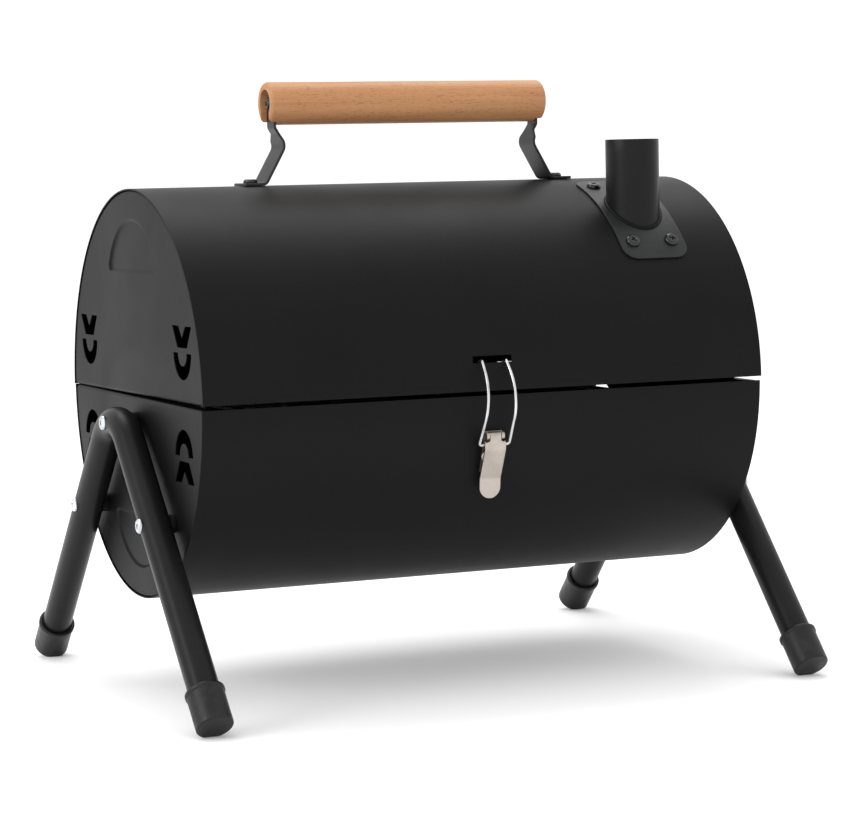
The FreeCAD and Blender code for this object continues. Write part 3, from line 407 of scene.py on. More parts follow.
class Tree:
    """A Geometry Nodes tree under construction, with named sizes."""

    def __init__(self, name: str) -> None:
        """Start an empty tree.

        Args:
            name: Name of the tree.
        """
        self.group = bpy.data.node_groups.new(name, "GeometryNodeTree")
        self.group.interface.new_socket("Geometry", in_out="INPUT", socket_type="NodeSocketGeometry")
        self.group.interface.new_socket("Geometry", in_out="OUTPUT", socket_type="NodeSocketGeometry")
        self.start = self.group.nodes.new("NodeGroupInput")
        self.end = self.group.nodes.new("NodeGroupOutput")

    @property
    def geometry(self) -> bpy.types.NodeSocket:
        """The geometry that comes in."""
        return self.start.outputs["Geometry"]

    def size(self, name: str, kind: str = "Float") -> bpy.types.NodeSocket:
        """Add a named input.

        Args:
            name: Name of the input.
            kind: Socket type, such as Float, Int, Object or Material.

        Returns:
            The socket that carries its value.
        """
        self.group.interface.new_socket(name, in_out="INPUT", socket_type="NodeSocket" + kind)
        return self.start.outputs[name]

    def add(self, kind: str, inputs: dict[str | int, Any] | None = None, **settings: Any) -> bpy.types.Node:
        """Add a node.

        Args:
            kind: Type of the node.
            inputs: Value or socket for each input, by its name or place.
            **settings: Properties of the node.

        Returns:
            The new node.
        """
        node = self.group.nodes.new(kind)
        for key, value in settings.items():
            setattr(node, key, value)
        for key, value in (inputs or {}).items():
            if isinstance(value, bpy.types.NodeSocket):
                self.group.links.new(value, node.inputs[key])
            else:
                node.inputs[key].default_value = value
        return node

    def math(self, operation: str, first: Any, second: Any = 0.0) -> bpy.types.NodeSocket:
        """Result of a sum on one or two numbers."""
        return self.add("ShaderNodeMath", {0: first, 1: second}, operation=operation).outputs[0]

    def vector(self, x: Any = 0.0, y: Any = 0.0, z: Any = 0.0) -> bpy.types.NodeSocket:
        """Vector from three numbers."""
        return self.add("ShaderNodeCombineXYZ", {0: x, 1: y, 2: z}).outputs[0]

    def close(self, geometry: bpy.types.NodeSocket) -> Tree:
        """Realize, smooth and paint the result.

        Args:
            geometry: What the tree has made.

        Returns:
            The tree.
        """
        real = self.add("GeometryNodeRealizeInstances", {0: geometry})
        smooth = self.add("GeometryNodeSetShadeSmooth", {0: real.outputs[0], "Shade Smooth": True})
        finish = self.size("Finish", "Material")
        paint = self.add("GeometryNodeSetMaterial", {0: smooth.outputs[0], "Material": finish})
        self.group.links.new(paint.outputs[0], self.end.inputs[0])
        return self

    def run(self, name: str, source: bpy.types.Object, finish: bpy.types.Material,
            **sizes: Any) -> bpy.types.Object:
        """Run the tree on a helper object.

        Args:
            name: Name of the new piece.
            source: Helper that carries the points or the path; it is removed.
            finish: Material of the piece.
            **sizes: Value of each named input, with _ for a space.

        Returns:
            The result as a plain mesh object.
        """
        values = {key.replace("_", " "): value for key, value in sizes.items()} | {"Finish": finish}
        modifier = source.modifiers.new(name, "NODES")
        modifier.node_group = self.group
        for item in self.group.interface.items_tree:
            if item.item_type == "SOCKET" and item.in_out == "INPUT" and item.name in values:
                modifier[item.identifier] = values[item.name]
        bpy.context.view_layer.update()
        graph = bpy.context.evaluated_depsgraph_get()
        mesh = bpy.data.meshes.new_from_object(source.evaluated_get(graph), depsgraph=graph)
        discard(source)
        return new_object(name, mesh)


def nothing() -> bpy.types.Object:
    """Empty mesh for a tree that needs no input."""
    return new_object("nothing", bpy.data.meshes.new("nothing"))


def path_object(points: Sequence[Vector], bends: Sequence[float], closed: bool = False) -> bpy.types.Object:
    """Curve of straight runs whose point radius is the bend at that corner.

    Args:
        points: Corner points.
        bends: Bend radius at each point.
        closed: Whether the last point joins the first.

    Returns:
        The curve object.
    """
    data = bpy.data.curves.new("path", "CURVE")
    data.dimensions = "3D"
    spline = data.splines.new("POLY")
    spline.points.add(len(points) - 1)
    for item, point, bend in zip(spline.points, points, bends):
        item.co, item.radius = (*point, 1.0), bend
    spline.use_cyclic_u = closed
    return new_object("path", data)


def rod_tree() -> Tree:
    """Round rod or tube skin along a path with rounded corners.

    Returns:
        The tree.
    """
    tree = Tree("round rod")
    radius, sides, steps = tree.size("Radius"), tree.size("Sides", "Int"), tree.size("Bend Steps", "Int")
    bend = tree.add("GeometryNodeInputRadius").outputs[0]
    path = tree.add("GeometryNodeFilletCurve", {"Curve": tree.geometry, "Count": steps, "Radius": bend,
                                               "Limit Radius": True}, mode="POLY")
    even = tree.add("GeometryNodeSetCurveRadius", {"Curve": path.outputs[0], "Radius": 1.0})
    ring = tree.add("GeometryNodeCurvePrimitiveCircle", {"Resolution": sides, "Radius": radius})
    skin = tree.add("GeometryNodeCurveToMesh", {"Curve": even.outputs[0], "Profile Curve": ring.outputs[0],
                                               "Fill Caps": True})
    return tree.close(skin.outputs[0])


def bead_tree() -> Tree:
    """Weld bead along a closed path, with the ripple of a hand-held torch.

    Returns:
        The tree.
    """
    tree = Tree("weld bead")
    radius, pitch, ripple = tree.size("Radius"), tree.size("Ripple Pitch"), tree.size("Ripple")
    seed = tree.size("Seed", "Int")
    steps_in_ripple = 6
    step = tree.math("DIVIDE", pitch, steps_in_ripple)
    path = tree.add("GeometryNodeResampleCurve", {"Curve": tree.geometry, "Length": step}, mode="LENGTH")
    index = tree.add("GeometryNodeInputIndex").outputs[0]
    wave = tree.math("SINE", tree.math("MULTIPLY", index, 2 * math.pi / steps_in_ripple))
    chance = tree.add("FunctionNodeRandomValue", {"Min": -0.5, "Max": 0.5, "Seed": seed}).outputs[1]
    swell = tree.math("MULTIPLY", tree.math("ADD", wave, chance), ripple)
    width = tree.math("ADD", swell, 1.0)
    bead = tree.add("GeometryNodeSetCurveRadius", {"Curve": path.outputs[0], "Radius": width})
    ring = tree.add("GeometryNodeCurvePrimitiveCircle", {"Resolution": 12, "Radius": radius})
    skin = tree.add("GeometryNodeCurveToMesh", {"Curve": bead.outputs[0], "Profile Curve": ring.outputs[0]})
    return tree.close(skin.outputs[0])


def drum_tree() -> Tree:
    """Part of a drum's skin about an axis along X, between two angles from the front horizontal.

    Returns:
        The tree.
    """
    tree = Tree("drum skin")
    radius, half, axis = tree.size("Radius"), tree.size("Half Length"), tree.size("Axis Height")
    low, high = tree.size("Low Angle"), tree.size("High Angle")
    columns, rows = tree.size("Columns", "Int"), tree.size("Rows", "Int")
    grid = tree.add("GeometryNodeMeshGrid", {"Size X": 2.0, "Size Y": 1.0, "Vertices X": columns,
                                             "Vertices Y": rows})
    place = tree.add("ShaderNodeSeparateXYZ", {0: tree.add("GeometryNodeInputPosition").outputs[0]}).outputs
    share = tree.math("ADD", place[1], 0.5)
    turn = tree.math("ADD", low, tree.math("MULTIPLY", share, tree.math("SUBTRACT", high, low)))
    y = tree.math("MULTIPLY", tree.math("COSINE", turn), tree.math("MULTIPLY", radius, -1.0))
    z = tree.math("ADD", axis, tree.math("MULTIPLY", tree.math("SINE", turn), radius))
    spot = tree.vector(tree.math("MULTIPLY", place[0], half), y, z)
    bent = tree.add("GeometryNodeSetPosition", {"Geometry": grid.outputs[0], "Position": spot})
    return tree.close(bent.outputs[0])


def placing_tree() -> Tree:
    """One fastener on every point, looking along the point's facing and turned about it.

    Returns:
        The tree.
    """
    tree = Tree("placed fasteners")
    model = tree.add("GeometryNodeObjectInfo", {"Object": tree.size("Fastener", "Object")})
    facing = tree.add("GeometryNodeInputNamedAttribute", {"Name": "facing"}, data_type="FLOAT_VECTOR")
    turn = tree.add("GeometryNodeInputNamedAttribute", {"Name": "turn"}, data_type="FLOAT")
    aim = tree.add("FunctionNodeAlignRotationToVector", {"Vector": facing.outputs[0]}, axis="Z")
    spin = tree.add("FunctionNodeAxisAngleToRotation", {"Axis": (0.0, 0.0, 1.0), "Angle": turn.outputs[0]})
    both = tree.add("FunctionNodeRotateRotation", {"Rotation": aim.outputs[0], "Rotate By": spin.outputs[0]},
                    rotation_space="LOCAL")
    placed = tree.add("GeometryNodeInstanceOnPoints", {
        "Points": tree.geometry, "Instance": model.outputs["Geometry"], "Rotation": both.outputs[0]})
    return tree.close(placed.outputs[0])


def bars_tree() -> Tree:
    """Bars across a grid at an even pitch, and two long bars below them.

    Returns:
        The tree.
    """
    tree = Tree("grid bars")
    count, pitch, radius = tree.size("Count", "Int"), tree.size("Pitch"), tree.size("Radius")
    length, height = tree.size("Length"), tree.size("Height")
    long_length, spread, long_height = tree.size("Long Length"), tree.size("Spread"), tree.size("Long Height")
    first_x = tree.math("MULTIPLY", tree.math("SUBTRACT", count, 1.0), tree.math("MULTIPLY", pitch, -0.5))
    first_y = tree.math("MULTIPLY", spread, -0.5)
    along_y, along_x = (math.pi / 2, 0.0, 0.0), (0.0, math.pi / 2, 0.0)
    rows = []
    for number, run, turn, start, step in (
            (count, length, along_y, tree.vector(first_x, 0.0, height), tree.vector(pitch)),
            (2, long_length, along_x, tree.vector(0.0, first_y, long_height), tree.vector(0.0, spread))):
        bar = tree.add("GeometryNodeMeshCylinder", {"Vertices": 12, "Radius": radius, "Depth": run})
        laid = tree.add("GeometryNodeTransform", {"Geometry": bar.outputs[0], "Rotation": turn})
        line = tree.add("GeometryNodeMeshLine", {"Count": number, "Start Location": start, "Offset": step})
        rows.append(tree.add("GeometryNodeInstanceOnPoints", {"Points": line.outputs[0],
                                                              "Instance": laid.outputs[0]}).outputs[0])
    both = tree.add("GeometryNodeJoinGeometry")
    for row in rows:
        tree.group.links.new(row, both.inputs[0])
    return tree.close(both.outputs[0])


# ---------------------------------------------------------------- finishes

class Shader:
    """A node material under construction, with patterns on Object coordinates in metres."""

    def __init__(self, name: str) -> None:
        """Start a material with one Principled shader.

        Args:
            name: Name of the material.
        """
        self.material = bpy.data.materials.new(name)
        self.material.use_nodes = True
        self.tree = self.material.node_tree
        self.bsdf = self.tree.nodes["Principled BSDF"]
        self.place = self.tree.nodes.new("ShaderNodeTexCoord").outputs["Object"]

    def set(self, **values: Any) -> None:
        """Set shader sockets directly, with _ for a space."""
        for key, value in values.items():
            self.bsdf.inputs[key.replace("_", " ")].default_value = value

    def join(self, source: bpy.types.NodeSocket, socket: str) -> None:
        """Link a pattern to a shader socket."""
        self.tree.links.new(source, self.bsdf.inputs[socket])

    def mapped(self, stretch: Sequence[float],
               centre: Sequence[float] = (0.0, 0.0, 0.0)) -> bpy.types.NodeSocket:
        """Coordinates centred on a point and stretched.

        Args:
            stretch: Repeats per metre along each axis.
            centre: Point that becomes the pattern's origin.

        Returns:
            The vector socket.
        """
        node = self.tree.nodes.new("ShaderNodeMapping")
        self.tree.links.new(self.place, node.inputs["Vector"])
        node.inputs["Scale"].default_value = stretch
        node.inputs["Location"].default_value = [-c * s for c, s in zip(centre, stretch)]
        return node.outputs[0]

    def noise(self, stretch: Sequence[float], detail: float = 3.0, warp: float = 0.0) -> bpy.types.NodeSocket:
        """Noise with so many repeats per metre along each axis.

        Args:
            stretch: Repeats per metre along each axis.
            detail: Layers of finer noise.
            warp: How far the pattern is bent out of shape.

        Returns:
            The pattern, about 0.3 to 0.7.
        """
        node = self.tree.nodes.new("ShaderNodeTexNoise")
        self.tree.links.new(self.mapped(stretch), node.inputs["Vector"])
        node.inputs["Scale"].default_value = 1.0
        node.inputs["Detail"].default_value, node.inputs["Distortion"].default_value = detail, warp
        return node.outputs[0]

    def ramp(self, source: bpy.types.NodeSocket,
             stops: Sequence[tuple[float, Sequence[float]]]) -> bpy.types.NodeSocket:
        """Colours along a pattern.

        Args:
            source: Pattern from 0 to 1.
            stops: Place and colour of each stop.

        Returns:
            The colour socket.
        """
        node = self.tree.nodes.new("ShaderNodeValToRGB")
        self.tree.links.new(source, node.inputs[0])
        while len(node.color_ramp.elements) < len(stops):
            node.color_ramp.elements.new(0.5)
        for item, (place, colour) in zip(node.color_ramp.elements, stops):
            item.position, item.color = place, (*colour, 1.0)
        return node.outputs[0]

    def span(self, source: bpy.types.NodeSocket, low: float, high: float,
             start: float = 0.3, end: float = 0.7) -> bpy.types.NodeSocket:
        """Spread a pattern over a range of values.

        Args:
            source: The pattern.
            low: Value where the pattern is at its start.
            high: Value where the pattern is at its end.
            start: Pattern level that gives the low value.
            end: Pattern level that gives the high value.

        Returns:
            The value socket.
        """
        node = self.tree.nodes.new("ShaderNodeMapRange")
        self.tree.links.new(source, node.inputs[0])
        for place, value in enumerate((start, end, low, high), 1):
            node.inputs[place].default_value = value
        return node.outputs[0]

    def mix(self, share: bpy.types.NodeSocket, first: bpy.types.NodeSocket,
            second: bpy.types.NodeSocket) -> bpy.types.NodeSocket:
        """Blend two colours by a pattern.

        Args:
            share: Share of the second colour.
            first: The first colour.
            second: The second colour.

        Returns:
            The colour socket.
        """
        node = self.tree.nodes.new("ShaderNodeMix")
        node.data_type = "RGBA"
        self.tree.links.new(share, node.inputs[0])
        self.tree.links.new(first, node.inputs[6])
        self.tree.links.new(second, node.inputs[7])
        return node.outputs[2]

    def bump(self, heights: Sequence[tuple[bpy.types.NodeSocket, float]]) -> None:
        """Relief from patterns.

        Args:
            heights: Each pattern and its depth in metres.
        """
        last = None
        for pattern, depth in heights:
            node = self.tree.nodes.new("ShaderNodeBump")
            node.inputs["Distance"].default_value = depth
            self.tree.links.new(pattern, node.inputs["Height"])
            if last is not None:
                self.tree.links.new(last, node.inputs["Normal"])
            last = node.outputs[0]
        self.join(last, "Normal")


@dataclass(frozen=True)
class PaintFinish:
    """Heat-proof paint or powder coat: fine grain, faint clouding, satin sheen."""

    name: str
    dark: tuple[float, float, float]
    light: tuple[float, float, float]
    matt: float = 0.52
    satin: float = 0.42
    gloss: float = 0.14
    grain: float = 1100.0
    grain_depth: float = 0.00004

    def material(self) -> bpy.types.Material:
        """Build the node material.

        Returns:
            The material.
        """
        shader = Shader(self.name)
        cloud = shader.noise((9, 9, 9), 4.0, 0.6)
        speck = shader.noise((self.grain,) * 3, 2.0)
        fine = shader.noise((self.grain * 0.3,) * 3, 2.0)
        clouded = shader.ramp(cloud, ((0.3, self.dark), (0.7, self.light)))
        grained = shader.ramp(fine, ((0.35, self.dark), (0.75, tuple(1.5 * c for c in self.light))))
        shader.join(shader.mix(shader.span(speck, 0.0, 0.35), clouded, grained), "Base Color")
        shader.join(shader.span(cloud, self.satin, self.matt), "Roughness")
        shader.bump(((speck, self.grain_depth), (fine, self.grain_depth * 1.5)))
        shader.set(Specular_IOR_Level=self.gloss)
        return shader.material


@dataclass(frozen=True)
class WoodFinish:
    """Oiled beech turned along X: growth rings about an off-centre heart, fibres and short flecks."""

    name: str
    centre: tuple[float, float, float]
    pale: tuple[float, float, float] = (0.535, 0.275, 0.126)
    tan: tuple[float, float, float] = (0.400, 0.184, 0.079)
    fleck: tuple[float, float, float] = (0.20, 0.082, 0.034)
    heart_y: float = 0.011
    heart_z: float = -0.024

    def material(self) -> bpy.types.Material:
        """Build the node material.

        Returns:
            The material.
        """
        shader = Shader(self.name)
        rings = shader.tree.nodes.new("ShaderNodeTexWave")
        rings.wave_type, rings.rings_direction = "RINGS", "X"
        x, y, z = self.centre
        heart = (x, y + self.heart_y, z + self.heart_z)
        shader.tree.links.new(shader.mapped((4, 100, 100), heart), rings.inputs["Vector"])
        for key, value in (("Scale", 1.6), ("Distortion", 2.4), ("Detail", 3.0), ("Detail Scale", 0.8)):
            rings.inputs[key].default_value = value
        band = shader.noise((5, 110, 110), 4.0, 0.4)
        fibre = shader.noise((26, 1500, 1500), 3.0, 0.2)
        fleck = shader.noise((230, 1700, 1700), 1.0)
        pore = shader.noise((900, 2600, 2600), 1.0)
        banded = shader.ramp(band, ((0.32, self.tan), (0.68, self.pale)))
        fibrous = shader.ramp(fibre, ((0.3, self.tan), (0.7, self.pale)))
        body = shader.mix(shader.span(rings.outputs["Fac"], 0.0, 0.4, 0.1, 0.9), banded, fibrous)
        dark = shader.ramp(band, ((0.3, self.fleck), (0.7, self.tan)))
        flecked = shader.mix(shader.span(fleck, 0.0, 0.85, 0.60, 0.70), body, dark)
        shader.join(shader.mix(shader.span(pore, 0.0, 0.5, 0.62, 0.74), flecked, dark), "Base Color")
        shader.join(shader.span(fibre, 0.40, 0.56), "Roughness")
        shader.bump(((fibre, 0.00006), (fleck, 0.00005)))
        shader.set(Specular_IOR_Level=0.22)
        return shader.material


@dataclass(frozen=True)
class MetalFinish:
    """Bare or plated metal: faint tarnish clouds and fine scratches."""

    name: str
    clean: tuple[float, float, float]
    dull: tuple[float, float, float]
    bright: float = 0.16
    hazy: float = 0.34
    brush: tuple[float, float, float] = (60.0, 60.0, 60.0)
    depth: float = 0.00001

    def material(self) -> bpy.types.Material:
        """Build the node material.

        Returns:
            The material.
        """
        shader = Shader(self.name)
        cloud = shader.noise((70, 70, 70), 4.0, 0.5)
        line = shader.noise(tuple(20 * b for b in self.brush), 2.0)
        haze = shader.noise(tuple(3 * b for b in self.brush), 3.0)
        shader.join(shader.ramp(cloud, ((0.32, self.dull), (0.62, self.clean))), "Base Color")
        shader.join(shader.span(haze, self.bright, self.hazy), "Roughness")
        shader.bump(((line, self.depth),))
        shader.set(Metallic=1.0)
        return shader.material


@dataclass(frozen=True)
class PlasticFinish:
    """Moulded plastic: fine leathery texture and scattered scuffs that dull it."""

    name: str
    base: tuple[float, float, float] = (0.007, 0.007, 0.0075)
    scuff: tuple[float, float, float] = (0.018, 0.018, 0.019)
    smooth: float = 0.34
    worn: float = 0.55

    def material(self) -> bpy.types.Material:
        """Build the node material.

        Returns:
            The material.
        """
        shader = Shader(self.name)
        patch = shader.noise((120, 120, 120), 4.0, 0.8)
        grain = shader.noise((1800, 1800, 1800), 2.0)
        shader.join(shader.ramp(patch, ((0.5, self.base), (0.78, self.scuff))), "Base Color")
        shader.join(shader.span(patch, self.smooth, self.worn, 0.35, 0.75), "Roughness")
        shader.bump(((grain, 0.00005), (patch, 0.00008)))
        shader.set(Specular_IOR_Level=0.3)
        return shader.material


class Slot(Enum):
    """Material slots of the record and the finish that each one shows."""

    BLACK_PAINT = PaintFinish("drum paint", (0.0033, 0.0033, 0.0034), (0.0050, 0.0050, 0.0051), gloss=0.11)
    TUBE_PAINT = PaintFinish("tube powder coat", (0.0062, 0.0060, 0.0066), (0.0095, 0.0092, 0.0100),
                             0.40, 0.28, 0.16, 1500.0, 0.00003)
    STRAP_PAINT = PaintFinish("strap paint", (0.011, 0.0115, 0.0115), (0.019, 0.020, 0.020),
                              0.5, 0.34, 0.26, 1500.0)
    WOOD = WoodFinish("oiled beech", (0.0, 0.0, 0.421))
    CAP_PLASTIC = PlasticFinish("cap plastic")
    ZINC_SCREW = MetalFinish("zinc plate", (0.74, 0.76, 0.78), (0.50, 0.52, 0.55), 0.20, 0.38)
    BLACK_SCREW = PaintFinish("black oxide", (0.005, 0.005, 0.006), (0.010, 0.010, 0.011),
                              0.24, 0.12, 0.5, 2500.0, 0.00001)
    LATCH_STEEL = MetalFinish("nickel plate", (0.50, 0.445, 0.40), (0.42, 0.375, 0.335), 0.40, 0.46)
    CHROME_WIRE = MetalFinish("chrome wire", (0.68, 0.69, 0.70), (0.45, 0.45, 0.45), 0.12, 0.3)
    GRATE_STEEL = MetalFinish("grate steel", (0.30, 0.29, 0.28), (0.13, 0.12, 0.11), 0.42, 0.62)
    PLAIN_STEEL = MetalFinish("plain steel", (0.58, 0.58, 0.59), (0.36, 0.36, 0.37), 0.28, 0.46)

    @property
    def word(self) -> str:
        """The slot's name in the record."""
        return self.name.lower()


@dataclass
class Workshop:
    """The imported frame, its main measures, the finishes and the trees that the pieces share."""

    frame: dict[str, Any]
    materials: dict[Slot, bpy.types.Material] = field(default_factory=dict)
    rods: Tree = field(default_factory=rod_tree)
    beads: Tree = field(default_factory=bead_tree)
    drums: Tree = field(default_factory=drum_tree)
    fasteners: Tree = field(default_factory=placing_tree)
    bars: Tree = field(default_factory=bars_tree)
    front_sag: float = 0.0005
    rear_sag: float = 0.0020
    sag_fade: float = 0.012

    def __post_init__(self) -> None:
        """Read the barrel's measures and build every finish."""
        low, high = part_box("body_shell")
        self.half_length, self.body_radius = high.x, high.y
        self.axis = low.z + high.y
        self.half_gap = self.axis - high.z
        low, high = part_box("lid_shell")
        self.lid_radius = high.z - self.axis
        self.end_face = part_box("lid_end_plate_right")[1].x
        self.materials = {slot: slot.value.material() for slot in Slot}

    def sag(self, y: float, height: float) -> float:
        """How far an edge leans in to the split: the gap narrows toward the hinges.

        Args:
            y: Place along the end plate, front negative.
            height: Distance from the split's middle plane.

        Returns:
            The drop toward that plane; it fades out away from the edge.
        """
        share = (y + self.body_radius) / (2 * self.body_radius)
        fade = 1 - (height - self.half_gap) / self.sag_fade
        drop = self.front_sag + (self.rear_sag - self.front_sag) * min(1.0, max(0.0, share))
        return drop * min(1.0, max(0.0, fade))

    def on_drum(self, x: float, radius: float, angle: float) -> Vector:
        """Point at a radius and an angle in radians up from the front horizontal."""
        return Vector((x, -radius * math.cos(angle), self.axis + radius * math.sin(angle)))

    def at_drop(self, x: float, radius: float, drop: float) -> Vector:
        """Point on the front of a drum at a depth below the split."""
        return Vector((x, -math.sqrt(radius ** 2 - drop ** 2), self.axis - drop))

    def ship(self, piece: bpy.types.Object, body: str, slot: Slot, *nodes: str) -> bpy.types.Object:
        """Dress a piece, let it ride on a body and report it.

        Args:
            piece: The finished mesh object.
            body: CAD body that it moves with.
            slot: Finish of the piece.
            *nodes: CAD nodes that it stands for.

        Returns:
            The same piece.
        """
        piece.data.materials.clear()
        piece.data.materials.append(self.materials[slot])
        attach(piece, body)
        slot.word
        if nodes:
            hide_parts(*nodes)
        LOG.info("%s on %s: %d faces", piece.name, body, len(piece.data.polygons))
        return piece

    def dress(self, slot: Slot, *nodes: str) -> None:
        """Give kept CAD nodes the finish of their slot.

        Args:
            slot: Finish of the nodes.
            *nodes: Names of the CAD nodes.
        """
        for node in nodes:
            for holder in self.frame["nodes"][node].material_slots:
                holder.material = self.materials[slot]
            LOG.info("%s keeps its shape in %s", node, slot.word)


# ---------------------------------------------------------------- fasteners

@dataclass(frozen=True)
class Spot:
    """Where a fastener sits: its seat, the way it looks and its turn about that way."""

    seat: Vector
    facing: Vector
    turn: float = 0.0


def fasten(shop: Workshop, name: str, model: bpy.types.Object, spots: Sequence[Spot],
           slot: Slot) -> bpy.types.Object:
    """Put a copy of a fastener on every spot.

    Args:
        shop: The shared workshop.
        name: Name of the piece that holds them all.
        model: One fastener made along +Z; it is removed.
        spots: Where they sit.
        slot: Their finish.

    Returns:
        The piece as one plain mesh.
    """
    mesh = bpy.data.meshes.new("spots")
    mesh.from_pydata([tuple(spot.seat) for spot in spots], [], [])
    facing = mesh.attributes.new("facing", "FLOAT_VECTOR", "POINT")
    facing.data.foreach_set("vector", [value for spot in spots for value in spot.facing])
    turn = mesh.attributes.new("turn", "FLOAT", "POINT")
    turn.data.foreach_set("value", [spot.turn for spot in spots])
    piece = shop.fasteners.run(name, new_object("spots", mesh), shop.materials[slot], Fastener=model)
    discard(model)
    return sharpened(piece)


@dataclass(frozen=True)
class Screw:
    """Pan-head machine screw with a cross recess and a thread."""

    head: float = 0.0105
    height: float = 0.0028
    shank: float = 0.005
    reach: float = 0.01
    recess: float = 0.0054
    slit: float = 0.0012
    depth: float = 0.0013
    pitch: float = 0.0008
    thread: float = 0.006
    core_share: float = 0.43
    point_share: float = 0.8
    rim_share: float = 0.28
    crown_share: float = 0.757
    crown_lean: float = 0.92
    crown_swing: float = math.radians(72.0)
    flat_share: float = 0.45

    def model(self) -> bpy.types.Object:
        """One screw along +Z with its seat at the origin.

        Returns:
            The screw's mesh object.
        """
        core, crest = self.shank * self.core_share, self.shank / 2
        profile = [(0.0, -self.reach), (core * self.point_share, -self.reach)]
        turns = max(1, int(min(self.thread, self.reach * 0.9) / self.pitch))
        for turn in range(turns):
            low = -self.reach + self.pitch * (turn + 0.2)
            profile += [(core, low), (crest, low + self.pitch * 0.5)]
        profile += [(crest, -self.reach + self.pitch * (turns + 0.6)), (crest, 0.0)]
        wide, rise = self.head / 2, self.height
        profile += [(wide - 0.0003, 0.0), (wide, 0.0003), (wide, rise * self.rim_share)]
        for step in range(1, 8):
            swing = self.crown_swing * step / 7
            profile.append((wide - rise * self.crown_lean * (1 - math.cos(swing)),
                            rise * (self.rim_share + self.crown_share * math.sin(swing))))
        profile += [(wide * self.flat_share, rise), (0.0, rise)]
        body = sharpened(turned_out(lathe("screw", profile, Vector(), Z_AXIS, 40)))
        return eased(cut(body, [self.cross()]), 0.00012, 50.0, 2)

    def cross(self) -> bpy.types.Object:
        """Tapered cutter for the recess.

        Returns:
            The cutter's mesh object.
        """
        rings = []
        for height, share in ((self.height - self.depth, 0.62), (self.height + 0.0005, 1.05)):
            long, slim = self.recess / 2 * share, self.slit / 2 * (0.6 + 0.5 * share)
            quarter = [(long, -slim), (long, slim), (slim, slim)]
            ring = []
            for turn in range(4):
                c, s = round(math.cos(turn * math.pi / 2)), round(math.sin(turn * math.pi / 2))
                ring += [Vector((x * c - y * s, x * s + y * c, height)) for x, y in quarter]
            rings.append(ring)
        return loft("cross", rings)


@dataclass(frozen=True)
class Rivet:
    """Dome-head rivet with a flat tail behind the sheets."""

    head: float = 0.0075
    height: float = 0.0014
    shank: float = 0.004
    grip: float = 0.0025

    def model(self) -> bpy.types.Object:
        """One rivet along +Z with its seat at the origin.

        Returns:
            The rivet's mesh object.
        """
        wide, tail = self.head / 2, -self.grip - self.height
        profile = [(0.0, tail), (wide - 0.0003, tail), (wide, tail + 0.0003), (wide, -self.grip - 0.0002),
                   (wide - 0.0002, -self.grip), (self.shank / 2, -self.grip), (self.shank / 2, 0.0),
                   (wide, 0.0)]
        profile += [(wide * math.cos(t), self.height * math.sin(t)) for t in quarter_turn(7)[1:-1]]
        return turned_out(lathe("rivet", profile + [(0.0, self.height)], Vector(), Z_AXIS, 32))


# ---------------------------------------------------------------- barrel

